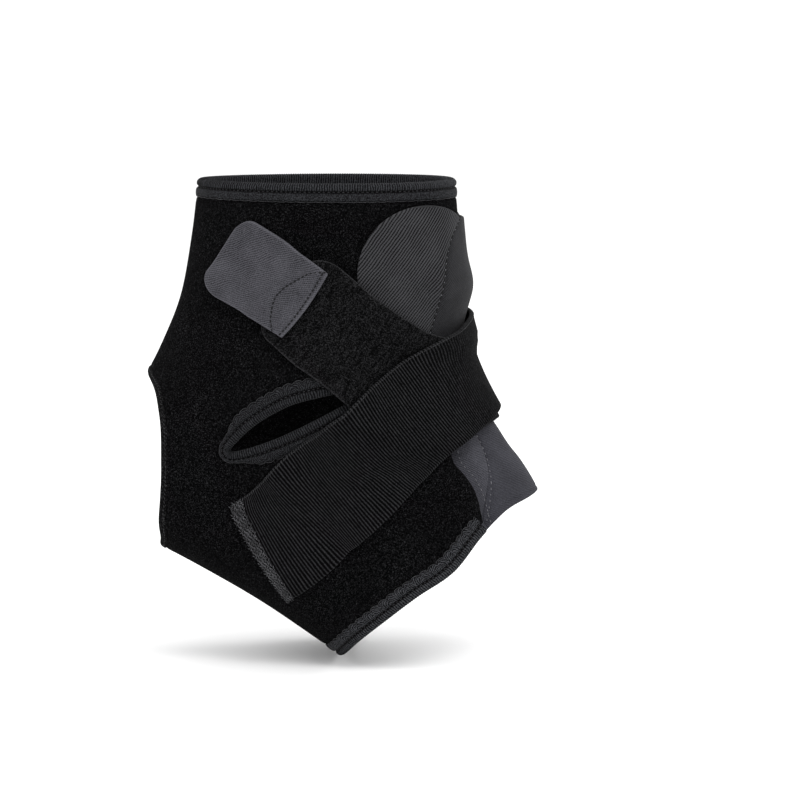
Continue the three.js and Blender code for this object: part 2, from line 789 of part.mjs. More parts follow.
addPiece('upper_strap_tab', strapTab(UPPER_ROUTE), COLOURS.tab);
addPiece('upper_strap_end_tape', strapEndTape(UPPER_ROUTE, UPPER_STRAP_WIDTH), COLOURS.binding);
addPiece('lower_strap', strap(LOWER_ROUTE, LOWER_STRAP_WIDTH, lowerStrapLow), COLOURS.strap);
addPiece('lower_strap_tab', strapTab(LOWER_ROUTE), COLOURS.tab);
addPiece('lower_strap_end_tape', strapEndTape(LOWER_ROUTE, LOWER_STRAP_WIDTH), COLOURS.binding);

export default brace;
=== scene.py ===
import math
import bmesh
import bpy
import numpy as np
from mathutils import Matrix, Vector
from mathutils.geometry import delaunay_2d_cdt
from mathutils.kdtree import KDTree


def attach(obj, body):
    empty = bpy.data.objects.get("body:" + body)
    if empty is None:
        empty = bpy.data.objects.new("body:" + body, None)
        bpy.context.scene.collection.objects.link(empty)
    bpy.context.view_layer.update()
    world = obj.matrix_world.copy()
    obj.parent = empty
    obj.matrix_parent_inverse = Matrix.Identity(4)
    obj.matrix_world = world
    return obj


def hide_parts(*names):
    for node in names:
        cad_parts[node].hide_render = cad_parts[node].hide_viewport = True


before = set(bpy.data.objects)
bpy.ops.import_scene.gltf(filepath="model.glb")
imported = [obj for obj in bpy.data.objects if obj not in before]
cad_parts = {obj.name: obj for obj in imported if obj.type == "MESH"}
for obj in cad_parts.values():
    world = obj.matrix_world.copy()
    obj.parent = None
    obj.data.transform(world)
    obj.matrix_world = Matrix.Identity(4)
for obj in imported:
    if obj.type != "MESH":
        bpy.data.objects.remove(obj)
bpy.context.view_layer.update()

# Camera, floor and light. The brace is seen from its outer side and a little above, through a long
# lens, in a white room with broad soft lamps. The pale floor is just under its lowest edge.
VIEW_TARGET = Vector((0.02664, 0.0, -0.00288))
VIEW_DISTANCE = 1.4
VIEW_RISE = math.radians(6.5)
LENS = 175
FLOOR_HEIGHT = -0.0950
FLOOR_REACH = 60.0
ROOM_STRENGTH = 1.12

camera = bpy.data.objects.new("camera", bpy.data.cameras.new("camera"))
camera.data.lens = LENS
camera.data.clip_end = 2 * FLOOR_REACH
camera.location = VIEW_TARGET + VIEW_DISTANCE * Vector((0, -math.cos(VIEW_RISE), math.sin(VIEW_RISE)))
camera.rotation_euler = (math.pi / 2 - VIEW_RISE, 0, 0)
bpy.context.collection.objects.link(camera)
bpy.context.scene.camera = camera
bpy.context.scene.view_settings.view_transform = "Standard"


def joined(tree, kind, inputs=None, **settings):
    """Adds one node; each input is a value, or a socket that is linked to it."""
    node = tree.nodes.new(kind)
    for name, value in settings.items():
        setattr(node, name, value)
    for name, value in (inputs or {}).items():
        if isinstance(value, bpy.types.NodeSocket):
            tree.links.new(value, node.inputs[name])
        else:
            node.inputs[name].default_value = value
    return node


def finish(name, **fixed):
    """A new material, its tree and its main shader, with the sockets that are the same all over."""
    material = bpy.data.materials.new(name)
    material.use_nodes = True
    shader = material.node_tree.nodes["Principled BSDF"]
    for socket, value in fixed.items():
        shader.inputs[socket.replace("_", " ")].default_value = value
    return material, material.node_tree, shader


floor_mesh = bpy.data.meshes.new("floor")
corners = [(x * FLOOR_REACH, y * FLOOR_REACH, FLOOR_HEIGHT) for x, y in ((-1, -1), (1, -1), (1, 1), (-1, 1))]
floor_mesh.from_pydata(corners, [], [(0, 1, 2, 3)])
floor = bpy.data.objects.new("floor", floor_mesh)
bpy.context.collection.objects.link(floor)
floor_mesh.materials.append(finish("floor paint", Base_Color=(0.92, 0.92, 0.92, 1), Roughness=0.7)[0])

world = bpy.data.worlds.new("white room")
bpy.context.scene.world = world
world.use_nodes = True
world.node_tree.nodes["Background"].inputs["Color"].default_value = (1, 1, 1, 1)
world.node_tree.nodes["Background"].inputs["Strength"].default_value = ROOM_STRENGTH


def soft_box(name, place, size, power):
    lamp = bpy.data.objects.new(name, bpy.data.lights.new(name, "AREA"))
    lamp.data.shape = "SQUARE"
    lamp.data.size = size
    lamp.data.energy = power
    lamp.location = place
    lamp.rotation_euler = (-Vector(place)).to_track_quat("-Z", "Y").to_euler()
    bpy.context.collection.objects.link(lamp)


soft_box("key soft box", (0.5, -1.1, 1.5), 0.9, 16)
soft_box("side soft box", (-1.3, -0.5, 0.9), 0.9, 7)
soft_box("rim soft box", (1.2, 0.9, 1.0), 0.8, 12)

# Padded body. One black cloth, soft loop pile over a thin foam, is wrapped round the ankle and under the
# arch. It is cut out round the heel, has a slit over the outer ankle bone, and its two front flaps end
# in plain cut edges. Every piece of the brace lies on the same worn form, whose sections come first.
MM = 0.001
WRAP_LENGTH = 150 * MM
WRAP_HEIGHT = 168 * MM
WRAP_WIDTH = 82 * MM
WALL = 3 * MM
BINDING_WIDTH = 7 * MM
HEEL_EDGE_WIDTH = 3 * MM
# Back x and z, front x and z, half width, skew, back power, front power, from the collar down
SECTIONS = [
    [-0.283, 0.458, 0.289, 0.458, 0.366, -0.10, 1.00, 0.92],
    [-0.300, 0.336, 0.296, 0.379, 0.360, -0.12, 1.02, 0.92],
    [-0.327, 0.208, 0.303, 0.294, 0.360, -0.12, 1.02, 0.94],
    [-0.371, 0.107, 0.302, 0.197, 0.378, -0.08, 0.98, 0.96],
    [-0.416, 0.030, 0.296, 0.111, 0.409, -0.02, 0.92, 1.00],
    [-0.476, -0.043, 0.326, 0.032, 0.433, 0.05, 0.86, 1.02],
    [-0.512, -0.156, 0.367, -0.041, 0.433, 0.10, 0.80, 1.02],
    [-0.492, -0.264, 0.399, -0.086, 0.427, 0.12, 0.76, 1.00],
    [-0.400, -0.302, 0.425, -0.122, 0.439, 0.14, 0.70, 0.97],
    [-0.285, -0.355, 0.453, -0.154, 0.457, 0.16, 0.66, 0.94],
    [-0.136, -0.432, 0.478, -0.189, 0.476, 0.18, 0.64, 0.92],
    [0.056, -0.548, 0.502, -0.229, 0.500, 0.20, 0.62, 0.90],
    [0.178, -0.617, 0.520, -0.261, 0.512, 0.20, 0.62, 0.90],
]
# Ankle bones under the cloth: x, z, radius, height, side
ANKLE_BONES = [[-0.020, 0.024, 0.183, 0.049, -1], [0.013, 0.048, 0.195, 0.043, 1]]
# The toe edge, in sections down, at every 20 degrees of turn from the back
TOE_EDGE_DOWN = [[10.97], [10.92], [10.86], [10.83], [10.82], [10.86], [10.63], [10.44], [10.57], [10.71]]
# Turn and down of the slit over the ankle bone, and of the front edge of a flap
ANKLE_SLIT = [
    [71, 5.82], [77, 5.80], [86.4, 5.64], [95.6, 5.40], [104.7, 5.15], [112, 4.97], [118, 4.83],
    [113, 4.75], [104, 4.79], [92.2, 4.91], [84.5, 5.12], [78.2, 5.36], [73.6, 5.60],
]
FLAP_EDGE = [
    [172, 4.9], [152, 5.5], [143, 6.3], [138.5, 7.2], [136, 7.8], [135.5, 8.4], [134.3, 9.0],
    [132.1, 9.52], [128.4, 10.05], [124.6, 10.5], [123.4, 11.1], [123.4, 11.7],
]
FRONT_TURN = 179
HEEL_HOLE_DOWN, HEEL_HOLE_HALF_DOWN, HEEL_HOLE_HALF_TURN = 6.02, 2.07, 45.6
CUT_BACK = 3 * MM
HEEL_CUT_BACK = 1.2 * MM
EDGE_STEP = 1.2 * MM
FRONT_STEP = 0.9 * MM
HOLE_STEP = 0.5 * MM
# How far a cut edge is rounded, and how far the binding presses the cloth in from above and below
CUT_ROUND = 1.5 * MM
PRESSED_ABOVE, PRESSED_BELOW = 0.75 * MM, 0.5 * MM
SAME_POINT = 0.002 * MM


def along_table(table, place, loop=False):
    """The rows of a table as a smooth curve, read at places counted in rows."""
    table, place = np.asarray(table, float), np.asarray(place, float)
    count = len(table)
    if loop:
        first = np.floor(place).astype(int)
        before, start, end, after = (table[(first + step) % count] for step in (-1, 0, 1, 2))
    else:
        first = np.clip(np.floor(place).astype(int), 0, count - 2)
        longer = np.vstack([2 * table[0] - table[1], table, 2 * table[-1] - table[-2]])
        before, start, end, after = (longer[first + step] for step in (0, 1, 2, 3))
    part = (place - first)[..., None]
    bend = 2 * before - 5 * start + 4 * end - after
    twist = 3 * start - before - 3 * end + after
    return start + part * (end - before + part * (bend + part * twist)) / 2


def smooth(low, high, value):
    share = np.clip((value - low) / (high - low), 0, 1)
    return share * share * (3 - 2 * share)


def unit(vectors):
    return vectors / np.linalg.norm(vectors, axis=-1, keepdims=True)


def lengths_along(points):
    """Length from the first point of a line to each of its points."""
    return np.concatenate([[0], np.cumsum(np.linalg.norm(np.diff(points, axis=0), axis=1))])


def form(spots):
    """Points on the worn form. A spot is a turn in degrees and a count of sections down."""
    row = np.moveaxis(along_table(SECTIONS, spots[..., 1]), -1, 0)
    angle = np.radians(spots[..., 0])
    forward = (1 - np.cos(angle)) / 2
    side = -np.sign(np.sin(angle))
    x = WRAP_LENGTH * (row[0] + (row[2] - row[0]) * forward)
    z = WRAP_HEIGHT * (row[1] + (row[3] - row[1]) * forward)
    power = row[6] + (row[7] - row[6]) * forward
    half = WRAP_WIDTH * row[4] * np.abs(np.sin(angle)) ** power * (1 + row[5] * np.cos(angle))
    for bone_x, bone_z, radius, height, bone_side in ANKLE_BONES:
        away = np.hypot(x - bone_x * WRAP_LENGTH, z - bone_z * WRAP_HEIGHT) / (radius * WRAP_WIDTH)
        rise = WRAP_WIDTH * height * np.exp(-away ** 2) * np.abs(np.sin(angle))
        half = half + np.where(side == bone_side, rise, 0)
    return np.stack([x, side * half, z], -1)


def slopes(spots):
    """How a point moves per degree of turn and per section down, and the way out of the form."""
    per_turn = (form(spots + [0.8, 0]) - form(spots - [0.8, 0])) / 1.6
    per_down = (form(spots + [0, 0.04]) - form(spots - [0, 0.04])) / 0.08
    return per_turn, per_down, unit(np.cross(per_down, per_turn))


def lifted(spots, height):
    return form(spots) + slopes(spots)[2] * np.asarray(height)[..., None]


def walk(spots, heading, distance):
    """The spots reached by going straight over the form."""
    spots, heading = np.array(spots, float), unit(heading)
    step = np.asarray(distance) / 5
    for _ in range(5):
        per_turn, per_down, _ = slopes(spots)
        turn_2, down_2 = (per_turn ** 2).sum(-1), (per_down ** 2).sum(-1)
        mixed = (per_turn * per_down).sum(-1)
        to_turn, to_down = (heading * per_turn).sum(-1), (heading * per_down).sum(-1)
        scale = step / (turn_2 * down_2 - mixed ** 2)
        spots[..., 0] += (down_2 * to_turn - mixed * to_down) * scale
        spots[..., 1] += (turn_2 * to_down - mixed * to_turn) * scale
        out = slopes(spots)[2]
        heading = unit(heading - out * (heading * out).sum(-1)[..., None])
    return spots


def evenly(spots, spacing, closed=False):
    """The same line with points at even lengths."""
    line = np.vstack([spots, spots[:1]]) if closed else spots
    length = lengths_along(form(line))
    count = max(int(round(length[-1] / spacing)), 3)
    at = np.linspace(0, length[-1], count + 1)[: count if closed else count + 1]
    return np.stack([np.interp(at, length, line[:, 0]), np.interp(at, length, line[:, 1])], -1)


def collar_spots(turn):
    return np.stack([turn, np.zeros_like(turn)], -1)


def toe_edge_spots(turn):
    front = np.abs((turn + 180) % 360 - 180)
    return np.stack([turn, along_table(TOE_EDGE_DOWN, front / 20)[..., 0]], -1)


def heel_hole_spots(share):
    angle = 2 * np.pi * share
    return np.stack([
        HEEL_HOLE_HALF_TURN * np.cos(angle), HEEL_HOLE_DOWN - HEEL_HOLE_HALF_DOWN * np.sin(angle)], -1)


def slit_spots(share):
    return along_table(ANKLE_SLIT, share * len(ANKLE_SLIT), loop=True)


def away_from_loop(spots):
    """Headings that point from a closed edge into the cloth round it."""
    points = form(spots)
    forward = np.roll(points, -1, axis=0) - np.roll(points, 1, axis=0)
    return unit(np.cross(forward, slopes(spots)[2]))


def inside(outline, spots):
    """True for the spots that are inside a closed outline."""
    result = np.zeros(len(spots), bool)
    for (turn_a, down_a), (turn_b, down_b) in zip(outline, np.roll(outline, -1, axis=0)):
        if down_a == down_b:
            continue
        between = (down_a > spots[:, 1]) != (down_b > spots[:, 1])
        crossing = turn_a + (spots[:, 1] - down_a) * (turn_b - turn_a) / (down_b - down_a)
        result ^= between & (spots[:, 0] < crossing)
    return result


def nearest(points, targets):
    """Distance from each point to the nearest target."""
    tree = KDTree(len(targets))
    for index, target in enumerate(targets):
        tree.insert(target, index)
    tree.balance()
    return np.array([tree.find(point)[2] for point in points])


def placed(name, mesh):
    """A finished mesh as a piece of the brace."""
    piece = bpy.data.objects.new(name, mesh)
    bpy.context.collection.objects.link(piece)
    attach(piece, "root")
    return piece


def new_piece(name, points, faces, material, cloth_place=None, values=None):
    """A closed mesh with smooth faces. cloth_place is each point's place on the flat cloth."""
    mesh = bpy.data.meshes.new(name)
    mesh.from_pydata(points.tolist(), [], [list(face) for face in faces])
    if cloth_place is not None:
        layer = mesh.uv_layers.new(name="cloth")
        corner = np.empty(len(mesh.loops), int)
        mesh.loops.foreach_get("vertex_index", corner)
        layer.data.foreach_set("uv", np.asarray(cloth_place, float)[corner].ravel())
    for attribute, numbers in (values or {}).items():
        mesh.attributes.new(attribute, "FLOAT", "POINT").data.foreach_set("value", np.asarray(numbers, float))
    shell = bmesh.new()
    shell.from_mesh(mesh)
    bmesh.ops.remove_doubles(shell, verts=shell.verts, dist=SAME_POINT)
    bmesh.ops.recalc_face_normals(shell, faces=shell.faces)
    shell.to_mesh(mesh)
    shell.free()
    mesh.shade_smooth()
    mesh.materials.append(material)
    return placed(name, mesh)


def outline_edges(faces):
    """The edges that only one face uses."""
    pairs = np.vstack([faces[:, [0, 1]], faces[:, [1, 2]], faces[:, [2, 0]]])
    _, index, count = np.unique(np.sort(pairs, axis=1), axis=0, return_index=True, return_counts=True)
    return pairs[index[count == 1]]


def maths(tree, operation, *values):
    """One sum on numbers and sockets."""
    return joined(tree, "ShaderNodeMath", dict(enumerate(values)), operation=operation).outputs[0]


def noise(tree, place, scale, detail, **more):
    """Uneven shares between 0 and 1, in spots of about a metre divided by the scale."""
    return joined(tree, "ShaderNodeTexNoise", {
        "Vector": place, "Scale": scale, "Detail": detail, **more}).outputs["Fac"]


def spread(tree, value, low, high, to_low=0.0, to_high=1.0):
    """The values from low to high, spread over another span."""
    return joined(tree, "ShaderNodeMapRange", {
        "Value": value, "From Min": low, "From Max": high, "To Min": to_low, "To Max": to_high}).outputs[0]


def solid_place(tree):
    return joined(tree, "ShaderNodeTexCoord").outputs["Object"]


def colour_painted_light_and_relief(tree, shader, share, dark, light, height, relief, depth):
    """Gives the cloth its colour, from dark to light by a share, and its fine relief. Painted shade and
    painted highlights that some cloths add to the share go into the colour too.
    """
    colour = joined(tree, "ShaderNodeMix", {0: share, 6: dark, 7: light}, data_type="RGBA")
    tree.links.new(colour.outputs[2], shader.inputs["Base Color"])
    bump = joined(tree, "ShaderNodeBump", {"Height": height, "Strength": relief, "Distance": depth})
    tree.links.new(bump.outputs["Normal"], shader.inputs["Normal"])


def loop_pile(name, dark, light, pile, relief=0.45):
    """Black pile of small curled fibres, each catching a little light."""
    material, tree, shader = finish(
        name, Roughness=1.0, Sheen_Weight=0.004, Sheen_Roughness=0.5, Specular_IOR_Level=0.01)
    place = solid_place(tree)
    curl = noise(tree, place, 1 / pile, 1.6, Roughness=0.6, Distortion=0.7)
    fibre = spread(tree, maths(tree, "ABSOLUTE", maths(tree, "SUBTRACT", curl, 0.5)), 0.0, 0.045, 1.0, 0.0)
    lit = spread(tree, noise(tree, place, 1.1 / pile, 1.0), 0.42, 0.60, 0.08)
    worn = spread(tree, noise(tree, place, 60.0, 2.0), 0.3, 0.7, 0.8, 1.15)
    share = maths(tree, "MULTIPLY", maths(tree, "MULTIPLY", fibre, lit), worn)
    colour_painted_light_and_relief(tree, shader, share, dark, light, fibre, relief, 0.3 * MM)
    return material


# The cloth is cut back under its taped edges, and less under the turned edge of the heel hole
collar_line = collar_spots(np.linspace(-FRONT_TURN, FRONT_TURN, 300))
collar_line = walk(collar_line, slopes(collar_line)[1], CUT_BACK)
flap_line = along_table(FLAP_EDGE, np.linspace(0, len(FLAP_EDGE) - 1, 400))
toe_limit = toe_edge_spots(flap_line[:, 0])
toe_limit = walk(toe_limit, -slopes(toe_limit)[1], CUT_BACK)
flap_line = flap_line[flap_line[:, 1] < toe_limit[:, 1]]
slit_top = np.stack([
    np.full(40, float(FRONT_TURN)), np.linspace(collar_line[-1, 1], FLAP_EDGE[0][1] - 0.06, 40)], -1)
front_line = evenly(np.vstack([slit_top, flap_line]), FRONT_STEP)
toe_line = toe_edge_spots(np.linspace(flap_line[-1, 0], -flap_line[-1, 0], 300)[1:-1])
toe_line = walk(toe_line, -slopes(toe_line)[1], CUT_BACK)
outline = np.vstack([
    evenly(collar_line, EDGE_STEP)[1:-1], front_line, evenly(toe_line, EDGE_STEP),
    front_line[::-1] * [-1, 1]])
round_hole = np.linspace(0, 1, 400, endpoint=False)
heel_edge = evenly(heel_hole_spots(round_hole), HOLE_STEP, closed=True)
slit_edge = evenly(slit_spots(round_hole), HOLE_STEP, closed=True)
heel_headings = away_from_loop(heel_edge)
heel_cut = evenly(walk(heel_edge, heel_headings, HEEL_CUT_BACK), EDGE_STEP, closed=True)
slit_cut = evenly(walk(slit_edge, away_from_loop(slit_edge), CUT_BACK), EDGE_STEP, closed=True)

# The flat cloth is filled with points, in rows that are closer together along the cut front edges.
# Its sizes are in mm: for a degree of turn, for a section down, and from point to point
PER_TURN, PER_DOWN = 0.72, 15.0
CLOTH_STEP = 1.25
EDGE_ROWS = 0.35, 0.8, 1.5
rings = []
for line, sign in ((front_line, 1), (front_line * [-1, 1], -1)):
    points = form(line)
    inward = np.cross(np.gradient(points, axis=0), slopes(line)[2]) * -sign
    rings += [walk(line, inward, depth * MM) for depth in EDGE_ROWS]
rings = np.vstack(rings)
columns = np.arange(-FRONT_TURN * PER_TURN, FRONT_TURN * PER_TURN, CLOTH_STEP)
lines = np.arange(0, (len(SECTIONS) - 1) * PER_DOWN, CLOTH_STEP * 0.866)
fill = np.array([
    ((column + (number % 2) * CLOTH_STEP / 2) / PER_TURN, line / PER_DOWN)
    for number, line in enumerate(lines) for column in columns])


def on_cloth(spots):
    return inside(outline, spots) & ~inside(heel_cut, spots) & ~inside(slit_cut, spots)


fill = fill[on_cloth(fill)]
edges_so_far = np.vstack([outline, heel_cut, slit_cut])
fill = fill[nearest(form(fill), form(np.vstack([edges_so_far, rings]))) > 0.75 * MM]
rings = rings[on_cloth(rings)]
rings = rings[nearest(form(rings), form(edges_so_far)) > 0.25 * MM]
cloth_points = np.vstack([edges_so_far, rings, fill])
loops, start = [], 0
for line in (outline, heel_cut, slit_cut):
    loops += [(start + index, start + (index + 1) % len(line)) for index in range(len(line))]
    start += len(line)
flat = cloth_points * [PER_TURN, PER_DOWN]
verts, _, triangles, _, _, _ = delaunay_2d_cdt([Vector(p) for p in flat.tolist()], loops, [], 0, 1e-5)
cloth_spots = np.array([tuple(v) for v in verts]) / [PER_TURN, PER_DOWN]
triangles = np.array([face for face in triangles if len(face) == 3])
triangles = triangles[on_cloth(cloth_spots[triangles].mean(axis=1))]
used, index = np.unique(triangles, return_inverse=True)
cloth_spots, triangles = cloth_spots[used], index.reshape(-1, 3)

skin_points = form(cloth_spots)
whole_turn = np.linspace(-FRONT_TURN, FRONT_TURN, 500)
bound = np.minimum(nearest(skin_points, form(collar_spots(whole_turn))),
                   nearest(skin_points, form(toe_edge_spots(whole_turn))))
bound = np.minimum(bound, nearest(skin_points, form(slit_edge)))
bound = np.minimum(bound - BINDING_WIDTH, nearest(skin_points, form(heel_edge)) - HEEL_EDGE_WIDTH)
pressed = 1 - smooth(-1.2 * MM, 1.0 * MM, bound)
front_points = form(np.vstack([front_line, front_line * [-1, 1]]))
free_edge = nearest(skin_points, front_points)
round_off = CUT_ROUND * (1 - np.sqrt(1 - (1 - np.clip(free_edge / CUT_ROUND, 0, 1)) ** 2))
cloth_high = WALL - PRESSED_ABOVE * pressed - 0.8 * round_off
cloth_low = PRESSED_BELOW * pressed + 0.6 * round_off
rim = outline_edges(triangles)
top = len(cloth_spots)
body_points = np.vstack([lifted(cloth_spots, cloth_low), lifted(cloth_spots, cloth_high)])
body_faces = [*triangles.tolist(), *(triangles[:, ::-1] + top).tolist()]
body_faces += [(a, b, b + top, a + top) for a, b in rim.tolist()]
pile_black = loop_pile("black loop pile", (0.0007, 0.0007, 0.0008, 1), (0.029, 0.029, 0.031, 1), 0.56 * MM)
body = new_piece("padded_body", body_points, body_faces, pile_black)
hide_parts("body_wrap")

# Bound edges. A knitted tape is folded over the collar, the toe edge and the slit, and held by an
# overlock seam whose loops make a scalloped line on the outer face. The tape shows as a round roll at
# the edge, a groove, and the scalloped band.
SCALLOP = 3.4 * MM
KNIT_RIB = 0.85 * MM
CURL_RIB = 0.62 * MM
# Round the tape's section, where the band ends and where the rings of curled thread have their middle
BAND_END, CURL_CENTRE = 3.9 * MM, 3.4 * MM
COLLAR_SCALLOPED = 0.3
# In mm: the roll's width and centre, the groove's place, and how far the scallops and ribs stand out
ROLL_WIDTH, ROLL_CENTRE, GROOVE_AT = 3.0, (1.6, 1.6), 3.05
SCALLOP_DEPTH, SCALLOP_MEAN, SCALLOP_RISE, KNIT_RISE = 0.85, 0.4, 0.28, 0.13
TAPE_STEP = 0.17 * MM
# Distance in from the edge and height over the form, in mm, all round the tape
TAPE_SECTION = np.array([
    [6.3, 2.45], [6.5, 2.8], [6.3, 3.12], [5.9, 3.28], [5.4, 3.36], [4.9, 3.40], [4.4, 3.40], [3.9, 3.34],
    [3.55, 3.15], [3.3, 2.8], [3.08, 2.5], [2.88, 2.55], [2.7, 2.9], [2.35, 3.2], [1.95, 3.32],
    [1.5, 3.34], [1.05, 3.2], [0.6, 2.9], [0.25, 2.45], [0.05, 1.95], [0.0, 1.5], [0.1, 1.0], [0.35, 0.55],
    [0.75, 0.2], [1.3, 0.02], [2.2, -0.08], [3.4, -0.12], [4.8, -0.12], [6.0, -0.05], [6.5, 0.3],
    [6.4, 1.4]])
TAPE_ROLL = smooth(2.9, 2.6, TAPE_SECTION[:, 0]) * smooth(0.0, 0.6, TAPE_SECTION[:, 1])
TAPE_BAND = smooth(3.3, 6.3, TAPE_SECTION[:, 0]) * (TAPE_SECTION[:, 1] > 2)
# Painted shade: the tape's colour is darker in the groove behind the roll and along its inner edge next to
# the body
TAPE_GROOVE_SHADE = np.exp(-((TAPE_SECTION[:, 0] - GROOVE_AT) / 0.28) ** 2) * (TAPE_SECTION[:, 1] > 2)
TAPE_GROOVE_SHADE = np.maximum(TAPE_GROOVE_SHADE, smooth(6.0, 6.5, TAPE_SECTION[:, 0]) * 0.6)


def scallops(length):
    """From 0 between two scallops to 1 at a scallop's middle."""
    return np.abs(np.sin(np.pi * length / SCALLOP)) ** 0.6


def tape_lengths(spots, headings):
    """Length along the tape's middle, for each spot of its edge."""
    return lengths_along(form(walk(spots, headings, BINDING_WIDTH / 2)))


def edge_points(spots, headings, across, height):
    """For each spot of an edge, a row of points so many mm in from it and so many mm high."""
    edge = np.repeat(spots[:, None], across.shape[1], axis=1)
    into = np.repeat(headings[:, None], across.shape[1], axis=1)
    return lifted(walk(edge, into, across * MM), height * MM)


def swept(name, points, closed, material, cloth_place=None, values=None):
    """An edging whose rows of points are its sections one after the other."""
    size, ring = points.shape[:2]
    faces = []
    for row in range(size if closed else size - 1):
        a, b = row * ring, ((row + 1) % size) * ring
        faces += [(a + k, a + (k + 1) % ring, b + (k + 1) % ring, b + k) for k in range(ring)]
    if not closed:
        faces += [tuple(range(ring)), tuple(range((size - 1) * ring, size * ring))]
    return new_piece(name, points.reshape(-1, 3), faces, material, cloth_place, values)


def tape(name, spots, headings, closed, material, scalloped=1.0, narrowed=0.0):
    """A folded tape along an edge. Returns the piece, and its lengths."""
    length = tape_lengths(spots, headings)
    if closed:
        whole = length[-1] + length[1]
        length = length * round(whole / SCALLOP) * SCALLOP / whole
    wave = scallops(length)[:, None]
    rib = 0.5 + 0.5 * np.cos(2 * np.pi * length / KNIT_RIB)[:, None]
    band, roll = TAPE_BAND[None], TAPE_ROLL[None]
    across = TAPE_SECTION[None, :, 0] + (wave - SCALLOP_MEAN) * SCALLOP_DEPTH * band * scalloped
    raised = (wave - 0.6) * SCALLOP_RISE * np.sqrt(band) * (1 - band ** 3) * scalloped
    past_roll = np.clip(across - ROLL_WIDTH, 0, None)
    across = across - past_roll * np.reshape(narrowed, (-1, 1))
    outward = unit(TAPE_SECTION - ROLL_CENTRE)[None] * ((rib - 0.5) * KNIT_RISE * roll)[..., None]
    height = TAPE_SECTION[None, :, 1] + raised + outward[..., 1]
    points = edge_points(spots, headings, across + outward[..., 0], height)
    round_section = lengths_along(TAPE_SECTION) * MM
    place = np.stack(np.broadcast_arrays(length[:, None], round_section[None]), -1).reshape(-1, 2)
    painted_shade = np.repeat(TAPE_GROOVE_SHADE[None], len(spots), axis=0).ravel()
    return swept(name, points, closed, material, place, {"painted_shade": painted_shade}), length


def flat_place(tree):
    return joined(tree, "ShaderNodeUVMap", uv_map="cloth").outputs["UV"]


def point_value(tree, name):
    return joined(tree, "ShaderNodeAttribute", attribute_name=name, attribute_type="GEOMETRY").outputs["Fac"]


def knitted_tape(name, curled, light):
    """Charcoal knit: threads across the roll, and curved threads in each scallop where it is curled."""
    material, tree, shader = finish(
        name, Roughness=0.97, Sheen_Weight=0.02, Sheen_Roughness=0.4, Specular_IOR_Level=0.05)
    along = joined(tree, "ShaderNodeSeparateXYZ", {"Vector": flat_place(tree)}).outputs
    fuzz = noise(tree, solid_place(tree), 2200.0, 3.0, Roughness=0.7)
    wander = noise(tree, solid_place(tree), 700.0, 1.0)
    turns = maths(tree, "MULTIPLY", along["X"], 2 * math.pi / KNIT_RIB)
    rib = maths(tree, "COSINE", maths(tree, "MULTIPLY_ADD", wander, 5.0, turns))
    # In the band the threads are rings round each scallop's middle
    beside = maths(tree, "PINGPONG", along["X"], SCALLOP)
    up = maths(tree, "SUBTRACT", along["Y"], CURL_CENTRE)
    radius = maths(tree, "MULTIPLY_ADD", beside, beside, maths(tree, "MULTIPLY", up, up))
    turns = maths(tree, "MULTIPLY", maths(tree, "SQRT", radius), 2 * math.pi / CURL_RIB)
    curved = maths(tree, "COSINE", maths(tree, "MULTIPLY_ADD", wander, 11.0, turns))
    curved = maths(tree, "MULTIPLY", curved, curled)
    on_band = maths(tree, "LESS_THAN", along["Y"], BAND_END)
    threads = joined(tree, "ShaderNodeMix", {0: on_band, 2: rib, 3: curved}, data_type="FLOAT").outputs[0]
    mixed = maths(tree, "MULTIPLY_ADD", threads, 0.17, fuzz)
    # Painted shade: darker colour in the groove and at the tape's inner edge
    mixed = maths(tree, "MULTIPLY_ADD", point_value(tree, "painted_shade"), -0.55, mixed)
    share = spread(tree, mixed, 0.38, 0.80)
    colour_painted_light_and_relief(tree, shader, share, (0.0010, 0.0010, 0.0012, 1), light, mixed, 0.7, 0.3 * MM)
    return material


TIP_REACH = 11 * MM
TIP_NARROWED = 0.75
# One tape goes round all three edges. Its toe edge copy is made lighter than the collar's, as painted light,
# and its slit copy darker, as painted shade.
toe_knit = knitted_tape("toe edge tape with painted light", 1.0, (0.058, 0.06, 0.066, 1))
slit_knit = knitted_tape("slit tape with painted shade", 1.0, (0.032, 0.033, 0.036, 1))
collar_knit = knitted_tape("charcoal collar tape", 0.25, (0.044, 0.0455, 0.05, 1))
collar_edge = evenly(collar_spots(np.linspace(-FRONT_TURN, FRONT_TURN, 800)), TAPE_STEP)
collar_headings = unit(slopes(collar_edge)[1])
collar_tape, collar_lengths = tape(
    "collar_tape", collar_edge, collar_headings, False, collar_knit, COLLAR_SCALLOPED)
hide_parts("collar_binding")
BINDING_END_TURN = 123.2
toe_edge = evenly(toe_edge_spots(np.linspace(-BINDING_END_TURN, BINDING_END_TURN, 800)), TAPE_STEP)
toe_headings = -unit(slopes(toe_edge)[1])
toe_tape, toe_lengths = tape("toe_edge_tape", toe_edge, toe_headings, False, toe_knit)
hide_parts("toe_edge_binding")
fine_shares = np.linspace(0, 1, 3000, endpoint=False)
fine_slit = slit_spots(fine_shares)
slit_steps = tape_lengths(fine_slit, away_from_loop(fine_slit))
slit_at = np.linspace(0, slit_steps[-1], int(slit_steps[-1] / TAPE_STEP), endpoint=False)
slit_line = slit_spots(np.interp(slit_at, slit_steps, fine_shares))
slit_headings = away_from_loop(slit_line)
tip_gap = np.linalg.norm(form(slit_line) - form(slit_spots(np.array([0.0]))), axis=-1)
slit_narrowed = TIP_NARROWED * (1 - smooth(1 * MM, TIP_REACH, tip_gap))
slit_tape, slit_lengths = tape("slit_tape", slit_line, slit_headings, True, slit_knit, narrowed=slit_narrowed)
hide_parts("slit_binding")

